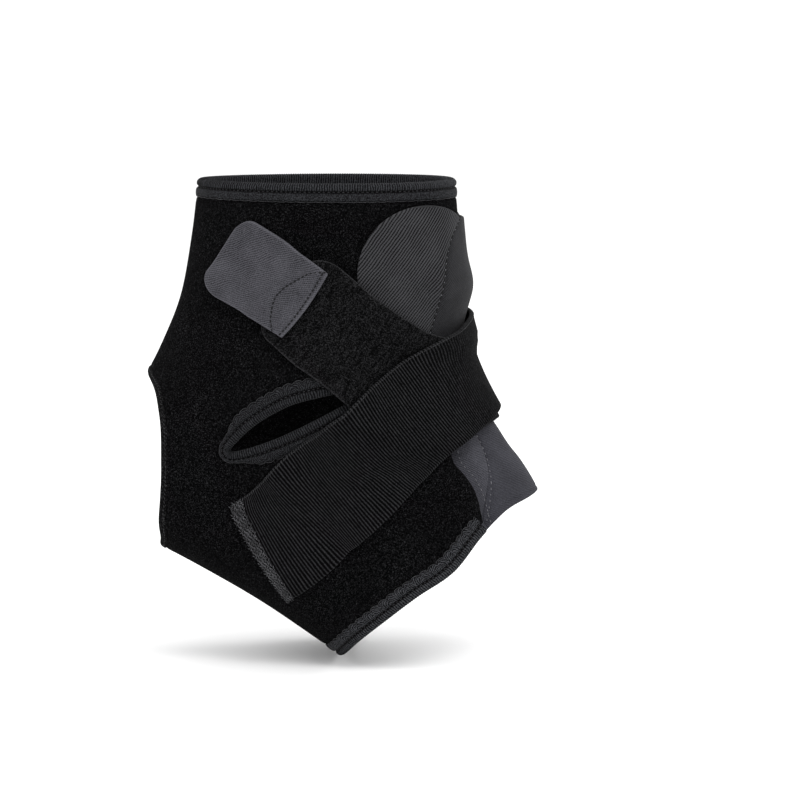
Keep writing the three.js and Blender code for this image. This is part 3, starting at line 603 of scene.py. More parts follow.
# Sewing thread. Every seam of the brace is a row of real stitches in twisted polyester thread. One set
# of nodes lays a short strand of thread on each place of a seam, and the strands are kept as plain mesh.
STITCH_SHORTEST, STITCH_LONGEST, THREAD_SEED = 0.8, 1.15, 4
STRAND_SIDES, STRAND_RINGS = 8, 6


def stitching_nodes():
    """Lays one stitch of thread on every point, turned along the seam. Lengths vary a little."""
    tree = bpy.data.node_groups.new("stitches", "GeometryNodeTree")
    for name, kind in (("Seam points", "NodeSocketGeometry"), ("Stitch length", "NodeSocketFloat"),
                       ("Thread thickness", "NodeSocketFloat"), ("Thread finish", "NodeSocketMaterial")):
        tree.interface.new_socket(name, in_out="INPUT", socket_type=kind)
    tree.interface.new_socket("Stitches", in_out="OUTPUT", socket_type="NodeSocketGeometry")
    given = tree.nodes.new("NodeGroupInput").outputs
    along = joined(tree, "GeometryNodeInputNamedAttribute", {"Name": "along"}, data_type="FLOAT_VECTOR")
    out = joined(tree, "GeometryNodeInputNamedAttribute", {"Name": "out"}, data_type="FLOAT_VECTOR")
    turned = joined(tree, "FunctionNodeAxesToRotation", {
        "Primary Axis": out.outputs["Attribute"], "Secondary Axis": along.outputs["Attribute"]},
        primary_axis="Z", secondary_axis="X")
    varied = joined(tree, "FunctionNodeRandomValue", {
        "Min": STITCH_SHORTEST, "Max": STITCH_LONGEST, "Seed": THREAD_SEED}, data_type="FLOAT")
    varied_out = [socket for socket in varied.outputs if socket.type == "VALUE" and socket.enabled][0]
    size = joined(tree, "ShaderNodeCombineXYZ", {
        "X": maths(tree, "MULTIPLY", given["Stitch length"], varied_out),
        "Y": given["Thread thickness"], "Z": given["Thread thickness"]})
    strand = joined(tree, "GeometryNodeMeshUVSphere", {
        "Segments": STRAND_SIDES, "Rings": STRAND_RINGS, "Radius": 0.5})
    laid = joined(tree, "GeometryNodeInstanceOnPoints", {
        "Points": given["Seam points"], "Instance": strand.outputs["Mesh"],
        "Rotation": turned.outputs["Rotation"], "Scale": size.outputs["Vector"]})
    rounded = joined(tree, "GeometryNodeSetShadeSmooth", {"Geometry": laid.outputs["Instances"]})
    whole = joined(tree, "GeometryNodeRealizeInstances", {"Geometry": rounded.outputs["Geometry"]})
    threads = joined(tree, "GeometryNodeSetMaterial", {
        "Geometry": whole.outputs["Geometry"], "Material": given["Thread finish"]})
    tree.links.new(threads.outputs["Geometry"], tree.nodes.new("NodeGroupOutput").inputs["Stitches"])
    return tree


def seam_points(spots, height, pitch, start=0.5, slant=0.0):
    """Stitch places at even lengths along a line of spots: points, the way along, and the way out."""
    line, out = lifted(spots, np.broadcast_to(height, spots.shape[:1])), slopes(spots)[2]
    length = lengths_along(line)
    at = np.arange(start * pitch, length[-1], pitch)

    def read(values, place):
        return np.stack([np.interp(place, length, values[:, axis]) for axis in range(3)], -1)

    ahead = unit(read(line, at + 0.2 * MM) - read(line, at - 0.2 * MM) + 1e-12)
    outward = unit(read(out, at))
    ahead = unit(ahead + slant * np.cross(outward, ahead))
    return read(line, at), ahead, outward


def thread(name, colour, patchy=0.0):
    """Twisted polyester thread, worn darker in patches."""
    material, tree, shader = finish(
        name, Roughness=0.8, Sheen_Weight=0.05, Sheen_Roughness=0.4, Specular_IOR_Level=0.2)
    place = solid_place(tree)
    twist = noise(tree, place, 1800.0, 2.0)
    worn = spread(tree, noise(tree, place, 330.0, 2.0), 0.42, 0.58, 1 - patchy)
    shade = maths(tree, "MULTIPLY", spread(tree, twist, 0.3, 0.7), worn)
    dark = tuple(part * 0.3 for part in colour[:3]) + (1,)
    colour_painted_light_and_relief(tree, shader, shade, dark, colour, twist, 0.5, 0.1 * MM)
    return material


stitch_tree = stitching_nodes()


def sewn(name, seams, length, thickness, finish_of_thread):
    """The stitches of one or more seams as one plain mesh."""
    points, along, out = (np.vstack(part) for part in zip(*seams))
    mesh = bpy.data.meshes.new(name + "_places")
    mesh.from_pydata(points.tolist(), [], [])
    for attribute, vectors in (("along", along), ("out", out)):
        mesh.attributes.new(attribute, "FLOAT_VECTOR", "POINT").data.foreach_set("vector", vectors.ravel())
    places = bpy.data.objects.new(name + "_places", mesh)
    bpy.context.collection.objects.link(places)
    modifier = places.modifiers.new("stitches", "NODES")
    modifier.node_group = stitch_tree
    given = {"Stitch length": length, "Thread thickness": thickness, "Thread finish": finish_of_thread}
    for socket in stitch_tree.interface.items_tree:
        if socket.name in given:
            modifier[socket.identifier] = given[socket.name]
    made = bpy.data.meshes.new_from_object(places.evaluated_get(bpy.context.evaluated_depsgraph_get()))
    bpy.data.objects.remove(places)
    return placed(name, made)


grey_thread = thread("grey overlock thread strand", (0.062, 0.062, 0.067, 1), 0.7)

# In mm: the loops' middle line and height, and the groove stitches' height
LOOP_INSET, LOOP_HEIGHT, GROOVE_HEIGHT = 6.45, 3.02, 2.62


def edge_loops(spots, headings, lengths, narrowed, scalloped):
    """The overlock loops that outline the scallops, and the short stitches in the groove."""
    inward = LOOP_INSET + (scallops(lengths) - SCALLOP_MEAN) * SCALLOP_DEPTH * scalloped
    inward = ROLL_WIDTH + (inward - ROLL_WIDTH) * (1 - narrowed)
    outline_line = walk(spots, headings, inward * MM)
    groove_line = walk(spots, headings, GROOVE_AT * MM)
    loops = seam_points(outline_line, LOOP_HEIGHT * MM, 0.62 * MM)
    return loops, seam_points(groove_line, GROOVE_HEIGHT * MM, 1.7 * MM)


all_loops, all_grooves = zip(
    edge_loops(collar_edge, collar_headings, collar_lengths, 0.0, COLLAR_SCALLOPED),
    edge_loops(toe_edge, toe_headings, toe_lengths, 0.0, 1.0),
    edge_loops(slit_line, slit_headings, slit_lengths, slit_narrowed, 1.0))
tape_loops = sewn("tape_overlock_loops", all_loops, 0.72 * MM, 0.2 * MM, grey_thread)
tape_grooves = sewn("tape_groove_stitches", all_grooves, 0.9 * MM, 0.26 * MM, grey_thread)

# Heel edge. The hole for the heel has no tape. The body's own cloth is turned in round it, in a narrow
# smooth edge that is held by a row of small slanted stitches.
HEEL_SECTION = np.array([
    [2.9, 2.35], [3.1, 2.7], [2.9, 3.02], [2.45, 3.16], [1.9, 3.18], [1.35, 3.08], [0.85, 2.85], [0.4, 2.45],
    [0.1, 1.95], [0.0, 1.45], [0.15, 0.9], [0.5, 0.4], [1.0, 0.1], [1.7, 0.0], [2.5, 0.0], [3.0, 0.2],
    [3.0, 1.3]])
HEEL_SEAM_INSET, HEEL_SEAM_HEIGHT = 2.3 * MM, 3.14 * MM
turned_black = loop_pile("turned edge cloth", (0.0016, 0.0016, 0.0017, 1), (0.05, 0.05, 0.052, 1), 0.6 * MM)
heel_points = edge_points(heel_edge, heel_headings, HEEL_SECTION[None, :, 0], HEEL_SECTION[None, :, 1])
heel_turned = swept("heel_turned_edge", heel_points, True, turned_black)
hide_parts("heel_binding")
heel_seam = walk(heel_edge, heel_headings, HEEL_SEAM_INSET)
black_grey_thread = thread("dark grey overlock thread", (0.045, 0.045, 0.048, 1), 0.8)
heel_stitches = sewn("heel_edge_stitches", [seam_points(heel_seam, HEEL_SEAM_HEIGHT, 1.5 * MM, slant=0.5)],
                     1.1 * MM, 0.22 * MM, black_grey_thread)

# Shin closure. One grey cloth with rounded ends lies across the front under the collar. The twill end
# tab with the hooks and the smoother panel meet at a sewn seam, and the panel stands off a little.
LAYER_GAP = 0.5 * MM
CLOSURE_THICKNESS = 1.6 * MM
CLOSURE_CENTRE_X, CLOSURE_CENTRE_Z = 0.240 * WRAP_LENGTH, 0.265 * WRAP_HEIGHT
CLOSURE_RADIUS = 24.3 * MM
CLOSURE_TOP_DIP = 5.4 * MM
CLOSURE_DIP_TURNS = 139, 168
CLOSURE_BULGE = 2.4 * MM
CLOSURE_BULGE_DROP = 5.4 * MM
CLOSURE_BULGE_REACH = 8 * MM
CLOSURE_BULGE_FADE = 7.2 * MM
SHIN_SEAM_TURN = [[168], [155], [148], [145.2], [142.5]]
SHIN_PITCH = 2.3 * MM
SHIN_SEAM_DEPTH, SHIN_SEAM_WIDTH = 0.35 * MM, 0.7 * MM
# The turn that the weave is measured from
WEAVE_TURN = 130
# Between two sewn cloths, in degrees of turn
SEAM_TURN = 0.15
LEG_RADIUS = 30 * MM


def on_closure(spots):
    return lifted(spots, np.full(spots.shape[:-1], WALL + LAYER_GAP + CLOSURE_THICKNESS))


def spots_at_height(turn, z):
    """The spots of these turns that show at these heights in the side view."""
    low, high = np.zeros_like(turn), np.full_like(turn, len(SECTIONS) - 1)
    for _ in range(24):
        middle = (low + high) / 2
        above = on_closure(np.stack([turn, middle], -1))[..., 2] > z
        low, high = np.where(above, middle, low), np.where(above, high, middle)
    return np.stack([turn, low], -1)


def turn_at_point(x, z):
    """The turn on the outer side where these places show in the side view."""
    back, front = np.zeros_like(x), np.full_like(x, 180.0)
    for _ in range(24):
        middle = (back + front) / 2
        behind = on_closure(spots_at_height(middle, z))[..., 0] < x
        back, front = np.where(behind, middle, back), np.where(behind, front, middle)
    return back


def outside_closure(spots):
    point = on_closure(spots)
    back = np.maximum(CLOSURE_CENTRE_X - point[..., 0], 0)
    return np.hypot(back, point[..., 2] - CLOSURE_CENTRE_Z) - CLOSURE_RADIUS


def closure_bulge(spots):
    point = on_closure(spots)
    up = (point[..., 2] - CLOSURE_CENTRE_Z + CLOSURE_BULGE_DROP) / CLOSURE_BULGE_REACH
    forward = smooth(0, CLOSURE_BULGE_FADE, point[..., 0] - CLOSURE_CENTRE_X)
    return CLOSURE_BULGE * np.exp(-up * up) * forward


def cloth_sheet(name, spots, low, high, inset, cloth_place, material):
    """A sheet of cloth over a grid of spots, rounded where it is near its cut edge."""
    lines, across = spots.shape[:2]
    half = (high - low) / 2
    rounding = np.sqrt(np.clip(1 - (1 - np.clip(inset / half, 0, 1)) ** 2, 0, 1))
    middle = (high + low) / 2
    faces_of_cloth = lifted(spots, middle - half * rounding), lifted(spots, middle + half * rounding)
    points = np.concatenate([face.reshape(-1, 3) for face in faces_of_cloth])
    number = np.arange(lines * across).reshape(lines, across)
    a, b, c, d = number[:-1, :-1], number[:-1, 1:], number[1:, 1:], number[1:, :-1]
    under = np.stack([a, b, c, d], -1).reshape(-1, 4)
    top = lines * across
    ring = np.concatenate([number[0, :-1], number[:-1, -1], number[-1, :0:-1], number[:0:-1, 0]])
    after = np.roll(ring, -1)
    sides = np.stack([ring, after, after + top, ring + top], -1)
    faces = np.vstack([under, under[:, ::-1] + top, sides]).tolist()
    place = np.vstack([cloth_place.reshape(-1, 2)] * 2)
    edge = np.concatenate([inset.ravel()] * 2)
    return new_piece(name, points, faces, material, place, {"inset": edge})


def twill(name, dark, light, rib, slant, contrast=1.0, painted_edge_highlight=0.25, relief=0.6, wander=0.9):
    """Woven twill: slanting ribs of short float threads, with a painted highlight along its edge."""
    material, tree, shader = finish(
        name, Roughness=0.92, Sheen_Weight=0.02, Sheen_Roughness=0.4, Specular_IOR_Level=0.08)
    place = flat_place(tree)
    turned = joined(tree, "ShaderNodeVectorRotate", {
        "Vector": place, "Angle": math.radians(slant)}, rotation_type="Z_AXIS")
    wobble = joined(tree, "ShaderNodeTexNoise", {"Vector": place, "Scale": 150.0, "Detail": 1.5})
    bent = joined(tree, "ShaderNodeVectorMath", {
        0: wobble.outputs["Color"], 1: (rib * wander,) * 3, 2: turned.outputs[0]}, operation="MULTIPLY_ADD")
    across = joined(tree, "ShaderNodeSeparateXYZ", {"Vector": bent.outputs[0]}).outputs
    ribs = maths(tree, "SINE", maths(tree, "MULTIPLY", across["X"], 2 * math.pi / rib))
    floats = maths(tree, "MULTIPLY", across["Y"], 2 * math.pi / (rib * 0.8))
    floats = maths(tree, "SINE", maths(tree, "ADD", floats, ribs))
    weave = noise(tree, solid_place(tree), 2600.0, 2.0, Roughness=0.7)
    cloudy = noise(tree, solid_place(tree), 110.0, 2.0)
    for part, weight in ((ribs, 0.26 * contrast), (floats, 0.10), (cloudy, 0.38)):
        weave = maths(tree, "MULTIPLY_ADD", part, weight, weave)
    # Painted highlight: lighter colour within 0.9 mm of the cloth's edge
    edge = spread(tree, point_value(tree, "inset"), 0.2 * MM, 0.9 * MM, painted_edge_highlight, 0.0)
    share = spread(tree, maths(tree, "ADD", weave, edge), 0.3, 1.08)
    colour_painted_light_and_relief(tree, shader, share, dark, light, weave, relief, 0.25 * MM)
    return material


def measured_places(spots):
    """Lengths along and across a grid of spots, in metres, as places on the flat cloth."""
    points = form(spots)
    down = np.linalg.norm(np.diff(points, axis=0), axis=-1)
    right = np.linalg.norm(np.diff(points, axis=1), axis=-1)
    v = np.concatenate([np.zeros((1, spots.shape[1])), np.cumsum(down, axis=0)])
    u = np.concatenate([np.zeros((spots.shape[0], 1)), np.cumsum(right, axis=1)], axis=1)
    return np.stack([u, v], -1)


def top_dip(turn):
    """How far the closure's top edge comes down in front."""
    return CLOSURE_TOP_DIP * np.interp(np.minimum(turn, 360 - turn), CLOSURE_DIP_TURNS, (0, 1)) ** 2


def closure_spots(turn, z):
    up = np.maximum((z - CLOSURE_CENTRE_Z) / CLOSURE_RADIUS, 0)
    return spots_at_height(turn, z - top_dip(turn) * up)


def closure_piece(name, first, last, shares, material):
    turn = first[:, None] + (last - first)[:, None] * shares[None]
    spots = closure_spots(turn, closure_z[:, None])
    seam_gap = np.radians(np.abs(turn - shin_seam[:, None])) * LEG_RADIUS
    stitched_in = SHIN_SEAM_DEPTH * np.exp(-(seam_gap / SHIN_SEAM_WIDTH) ** 2)
    low = WALL + LAYER_GAP + closure_bulge(spots)
    high = low + CLOSURE_THICKNESS - stitched_in
    z = on_closure(spots)[..., 2]
    below_top = CLOSURE_CENTRE_Z + CLOSURE_RADIUS - top_dip(turn) - z
    inset = np.clip(np.minimum(-outside_closure(spots), below_top), 0, None)
    along = measured_places(spots)[..., 0]
    beside = np.array([np.interp(WEAVE_TURN, row, length) for row, length in zip(turn, along)])
    place = np.stack([along - beside[:, None], z], -1)
    return cloth_sheet(name, spots, low, high, inset, place, material)


row_angle = np.pi * np.linspace(0, 1, 110)
closure_z = CLOSURE_CENTRE_Z + CLOSURE_RADIUS * np.cos(row_angle)
closure_end = turn_at_point(CLOSURE_CENTRE_X - CLOSURE_RADIUS * np.sin(row_angle), closure_z)
seam_place = (1 - np.cos(row_angle)) / 2 * (len(SHIN_SEAM_TURN) - 1)
shin_seam = along_table(SHIN_SEAM_TURN, seam_place)[..., 0]
shin_twill = twill(
    "grey hook twill", (0.0010, 0.0010, 0.0012, 1), (0.045, 0.045, 0.0485, 1), 0.94 * MM, 35, 1.5, 0.05)
shin_smooth = twill(
    "grey closure cloth", (0.0022, 0.0022, 0.0026, 1), (0.029, 0.029, 0.0315, 1),
    0.7 * MM, 35, 0.7, 0.05, 0.4)
eased = np.linspace(0, 1, 90) ** 1.5
shin_tab = closure_piece("shin_tab_cloth", closure_end, shin_seam, eased, shin_twill)
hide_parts("shin_tab")
eased = 1 - np.linspace(1, 0, 150) ** 1.4
shin_panel = closure_piece(
    "shin_panel_cloth", shin_seam + SEAM_TURN, 360 - closure_end, eased, shin_smooth)
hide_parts("shin_panel")
shin_line = closure_spots(shin_seam, closure_z)
shin_height = WALL + LAYER_GAP + closure_bulge(shin_line) + CLOSURE_THICKNESS - 0.3 * MM
dark_thread = thread("black sewing thread", (0.004, 0.004, 0.0045, 1))
pale_thread = thread("pale grey sewing thread", (0.17, 0.17, 0.185, 1))
shin_stitches = sewn("shin_seam_stitches", [seam_points(shin_line, shin_height, SHIN_PITCH)],
                     1.6 * MM, 0.62 * MM, dark_thread)
shin_flecks = sewn("shin_seam_flecks", [seam_points(shin_line, shin_height, SHIN_PITCH, start=1.0)],
                   0.5 * MM, 0.3 * MM, pale_thread)

# Instep closure. A grey knitted cloth fills the opening between the flaps. It is tucked in under both
# flaps, hemmed along the toe edge, and made of a lighter tab and a darker panel that meet at a seam.
INSTEP_SEAM = [
    [154.8, 6.6], [153, 7.47], [150.1, 8.19], [145.1, 8.94], [139.8, 9.54], [133.8, 10.05], [127.6, 10.45],
    [126.2, 10.9],
]
INSTEP_TOP_DOWN = 6.15
INSTEP_FREE_HEIGHT = 1 * MM
TUCK = 8 * MM
EDGE_GAP = 0.35 * MM
FLAP_SEAM_INSET = 3.4 * MM
INSTEP_KNIT = 0.62 * MM
INSTEP_SEAM_DEPTH, INSTEP_SEAM_WIDTH = 0.3 * MM, 0.6 * MM
HEM_INSET, HEM_DEPTH, HEM_WIDTH = 1.5 * MM, 0.4 * MM, 0.35 * MM


def turn_at_down(table, down):
    place = np.linspace(0, len(table) - 1, 600)
    line = along_table(table, place)
    return np.interp(down, line[:, 1], line[:, 0])


def per_turn_length(spots):
    return np.linalg.norm(slopes(spots)[0], axis=-1)


def instep_height(clear):
    """Height of the cloth's face over the form. It rises from its tucked edge into the opening."""
    return -LAYER_GAP + (INSTEP_FREE_HEIGHT + CLOSURE_THICKNESS + LAYER_GAP) * smooth(EDGE_GAP, TUCK, clear)


def instep_piece(name, side, shares, material):
    along = np.linspace(0, 1, 110)
    toe_front = toe_edge_spots(np.array([180.0]))[0, 1]
    rough = INSTEP_TOP_DOWN + (toe_front - INSTEP_TOP_DOWN) * along
    flap = turn_at_down(FLAP_EDGE, rough)
    tucked = flap - TUCK / per_turn_length(np.stack([flap, rough], -1))
    seam = turn_at_down(INSTEP_SEAM, rough)
    first, last = (tucked, seam) if side == "tab" else (seam + SEAM_TURN, 360 - tucked)
    turn = first[:, None] + (last - first)[:, None] * shares[None]
    bottom = toe_edge_spots(turn)[..., 1]
    down = INSTEP_TOP_DOWN + (bottom - INSTEP_TOP_DOWN) * along[:, None]
    spots = np.stack([turn, down], -1)
    near_flap = np.minimum(turn, 360 - turn)
    clear = (near_flap - turn_at_down(FLAP_EDGE, down)) * per_turn_length(spots)
    seam_gap = np.abs(turn - turn_at_down(INSTEP_SEAM, down)) * per_turn_length(spots)
    hem = (1 - along[:, None]) * np.linalg.norm(form(spots)[0] - form(spots)[-1], axis=-1)[None]
    stitched_in = INSTEP_SEAM_DEPTH * np.exp(-(seam_gap / INSTEP_SEAM_WIDTH) ** 2)
    folded = HEM_DEPTH * np.exp(-((hem - HEM_INSET) / HEM_WIDTH) ** 2)
    high = instep_height(clear)
    low = high - CLOSURE_THICKNESS
    inset = np.broadcast_to(hem, turn.shape)
    high = high - stitched_in - folded
    return cloth_sheet(name, spots, low, high, inset, measured_places(spots), material)


instep_light = twill(
    "light grey instep knit", (0.008, 0.008, 0.010, 1), (0.072, 0.072, 0.084, 1),
    INSTEP_KNIT, 88, 0.75, 0.0, 0.4)
instep_dark = twill(
    "dark grey instep knit", (0.006, 0.006, 0.0075, 1), (0.050, 0.050, 0.060, 1),
    INSTEP_KNIT, 88, 0.65, 0.0, 0.4)
instep_tab = instep_piece("instep_tab_cloth", "tab", np.linspace(0, 1, 60), instep_light)
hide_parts("instep_tab")
instep_panel = instep_piece(
    "instep_panel_cloth", "panel", np.linspace(0, 1, 130), instep_dark)
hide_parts("instep_panel")
instep_line = along_table(INSTEP_SEAM, np.linspace(0.15, len(INSTEP_SEAM) - 2.1, 200))
seam_clear = (instep_line[:, 0] - turn_at_down(FLAP_EDGE, instep_line[:, 1])) * per_turn_length(instep_line)
flap_down = np.linspace(INSTEP_TOP_DOWN + 0.3, 10.45, 200)
beside_flap = np.stack([turn_at_down(FLAP_EDGE, flap_down), flap_down], -1)
beside_flap[:, 0] += FLAP_SEAM_INSET / per_turn_length(beside_flap)
instep_stitches = sewn("instep_seam_stitches", [
    seam_points(instep_line, instep_height(seam_clear) - 0.18 * MM, 2.3 * MM),
    seam_points(beside_flap, instep_height(FLAP_SEAM_INSET) + 0.05 * MM, 2.0 * MM)],
    1.0 * MM, 0.32 * MM, pale_thread)

# Upper strap. A black elastic strap with a plush face starts in a sewn end low on the inner side,
# crosses the front and comes down to its grey hook tab on the outer side of the shin.
UPPER_STRAP_ROUTE = [
    [307.8, 8.86], [298.5, 8.72], [290.1, 8.52], [280.3, 8.17], [258.1, 7.08], [240.7, 6.25], [222, 5.70],
    [202, 5.38], [180, 5.15], [160, 5.14], [144, 5.00], [130.1, 4.65], [118.1, 4.05], [101.6, 3.22],
    [85.4, 2.42], [65.2, 1.72], [43, 1.23],
]
UPPER_STRAP_WIDTH = 36.5 * MM
UPPER_PLUSH = 0.75
STRAP_THICKNESS = 1.8 * MM
STRAP_GAP = 0.85 * MM
STRAP_CORNER = 9 * MM
STRAP_RIB = 0.95 * MM
STRAP_RIB_HEIGHT = 0.16 * MM
STRAP_RIB_SINK = 0.1 * MM
STRAP_NECK = 0.94
STRAP_NECK_LENGTH = 50 * MM
TAB_WIDTH = 32 * MM
TAB_NECK_WIDTH = 28.5 * MM
TAB_LENGTH = 38.5 * MM
TAB_OVERLAP = 12 * MM
TAB_CORNER = 8 * MM
END_TAPE_WIDTH = 3.5 * MM
LIFT_MARGIN = 1.6 * MM
LIFT_RAMP = 7 * MM


class Route:
    """A strap's middle line, measured in length from its sewn end."""

    def __init__(self, table):
        self.line = along_table(table, np.linspace(0, len(table) - 1, (len(table) - 1) * 24 + 1))
        self.points = form(self.line)
        self.marks = lengths_along(self.points)
        self.length = self.marks[-1]

    def spots(self, distance):
        before = np.minimum(distance, 0)[..., None] * (self.line[1] - self.line[0]) / self.marks[1]
        over = np.maximum(distance - self.length, 0)[..., None]
        after = over * (self.line[-1] - self.line[-2]) / (self.marks[-1] - self.marks[-2])
        turn = np.interp(distance, self.marks, self.line[:, 0])
        return np.stack([turn, np.interp(distance, self.marks, self.line[:, 1])], -1) + before + after

    def beside(self, distance, offset):
        """Spots at a distance along the strap and an offset across it."""
        spots = self.spots(distance)
        forward = form(self.spots(distance + 3 * MM)) - form(self.spots(distance - 3 * MM))
        return walk(spots, np.cross(slopes(spots)[2], forward), offset)


def rounded_half(width, corner, from_end):
    inward = np.clip(corner - from_end, 0, None)
    return width / 2 - corner + np.sqrt(np.clip(corner ** 2 - inward ** 2, 0, None))


def close_to_edges(count, rim, half):
    """Shares across a strap, from -1 to 1, closer together along both edges."""
    near = np.array([0, 0.06, 0.18, 0.36, 0.6, 1.0]) * rim / half
    middle = np.linspace(-1 + near[-1], 1 - near[-1], count)[1:-1]
    return np.concatenate([near - 1, middle, 1 - near[::-1]])


def band_grid(route, first, last, width, corners, step, count=14, rim=0.9 * MM, neck=1.0,
              neck_length=None):
    """Spots of a flat band along a route, with its own distances and offsets."""
    distance = np.arange(first, last, step)
    for corner, end, sign in ((corners[0], first, 1), (corners[1], last, -1)):
        closer = end + sign * (corner or rim) * (1 - np.cos(np.linspace(0, np.pi / 2, 14)))
        distance = np.concatenate([distance, closer])
    distance = np.unique(np.round(distance, 7))
    from_ends = distance - first, last - distance
    half = np.minimum(*(rounded_half(width, corner, away) for corner, away in zip(corners, from_ends)))
    widening = np.clip((distance - first) / (neck_length or last - first), 0, 1)
    half = np.maximum(half, 0.2 * MM) * (neck + (1 - neck) * widening)
    offset = half[:, None] * close_to_edges(count, rim, width / 2)[None]
    distance = np.repeat(distance[:, None], offset.shape[1], axis=1)
    inset = np.minimum(half[:, None] - np.abs(offset), np.minimum(distance - first, last - distance))
    return route.beside(distance, offset), distance, offset, np.clip(inset, 0, None)


def over_closure(spots):
    rise = 1 - smooth(LIFT_MARGIN, LIFT_MARGIN + LIFT_RAMP, outside_closure(spots))
    return rise * (LAYER_GAP + CLOSURE_THICKNESS + closure_bulge(spots))


def upper_low(spots):
    return WALL + STRAP_GAP + over_closure(spots)


def strap_ribs(distance, inset, plush):
    """Height of the elastic's cross ribs, which sink into the plush."""
    wave = 0.5 + 0.5 * np.cos(2 * np.pi * distance / STRAP_RIB)
    return STRAP_RIB_HEIGHT * wave ** 0.8 * smooth(0.2 * MM, 0.9 * MM, inset) * (1 - plush)


def strap_piece(name, route, width, low, plush_at, material):
    last = route.length - TAB_LENGTH + TAB_OVERLAP
    spots, distance, offset, inset = band_grid(
        route, END_TAPE_WIDTH * 0.6, last, width, (0, STRAP_CORNER), STRAP_RIB / 6,
        neck=STRAP_NECK, neck_length=STRAP_NECK_LENGTH)
    plush = plush_at(distance)
    under = low(spots)
    high = under + STRAP_THICKNESS - STRAP_RIB_SINK + strap_ribs(distance, inset, plush)
    place = np.stack([distance, offset], -1)
    return cloth_sheet(name, spots, under, high, inset, place, material)


def elastic(name, dark, light, plush_from, plush_to):
    """Black ribbed elastic, whose ribs give way to plush between two lengths along the strap."""
    material, tree, shader = finish(
        name, Roughness=0.97, Sheen_Weight=0.01, Sheen_Roughness=0.4, Specular_IOR_Level=0.03)
    along = joined(tree, "ShaderNodeSeparateXYZ", {"Vector": flat_place(tree)}).outputs["X"]
    ribs = maths(tree, "COSINE", maths(tree, "MULTIPLY", along, 2 * math.pi / STRAP_RIB))
    ribs = maths(tree, "MULTIPLY", ribs, spread(tree, along, plush_from, plush_to, 1.0, 0.0))
    fuzz = noise(tree, solid_place(tree), 2300.0, 1.8, Roughness=0.7, Distortion=0.5)
    stretched = joined(tree, "ShaderNodeVectorMath", {
        0: flat_place(tree), 1: (900.0, 160.0, 1.0)}, operation="MULTIPLY").outputs[0]
    both = maths(tree, "MULTIPLY_ADD", ribs, 0.30, fuzz)
    both = maths(tree, "MULTIPLY_ADD", noise(tree, stretched, 1.0, 2.0), 0.25, both)
    # Painted highlight: lighter colour within 0.6 mm of the strap's edge
    edge = spread(tree, point_value(tree, "inset"), 0.2 * MM, 0.6 * MM, 0.16, 0.0)
    both = maths(tree, "ADD", both, edge)
    colour_painted_light_and_relief(tree, shader, spread(tree, both, 0.6, 1.02), dark, light, both, 0.6, 0.3 * MM)
    return material


upper_route = Route(UPPER_STRAP_ROUTE)
upper_elastic = elastic(
    "black plush elastic", (0.0007, 0.0007, 0.0008, 1), (0.036, 0.036, 0.038, 1), 0.0, 1 * MM)
upper_strap = strap_piece(
    "upper_strap_band", upper_route, UPPER_STRAP_WIDTH, upper_low,
    lambda distance: np.full_like(distance, UPPER_PLUSH), upper_elastic)
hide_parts("upper_strap")

# The tab's end and its straight seam slant across by this much, and its curved seam is a line of shares
# across from its upper edge, with mm from the tab's sewn end
TAB_END_SHIFT, TAB_END_SLANT = 1.4 * MM, 3.1 * MM
TAB_SEAM = 1.5 * MM
TAB_LIFT = 1.5 * MM
TAB_SEAM_DEPTH, TAB_SEAM_WIDTH = 0.3 * MM, 0.5 * MM
TAB_CURVE = np.array([
    [0, 0.6], [0.08, 3.2], [0.17, 5.5], [0.31, 7.7], [0.46, 10.0], [0.6, 11.1], [0.71, 10.5], [0.86, 8.4],
    [1.0, 4.5]])


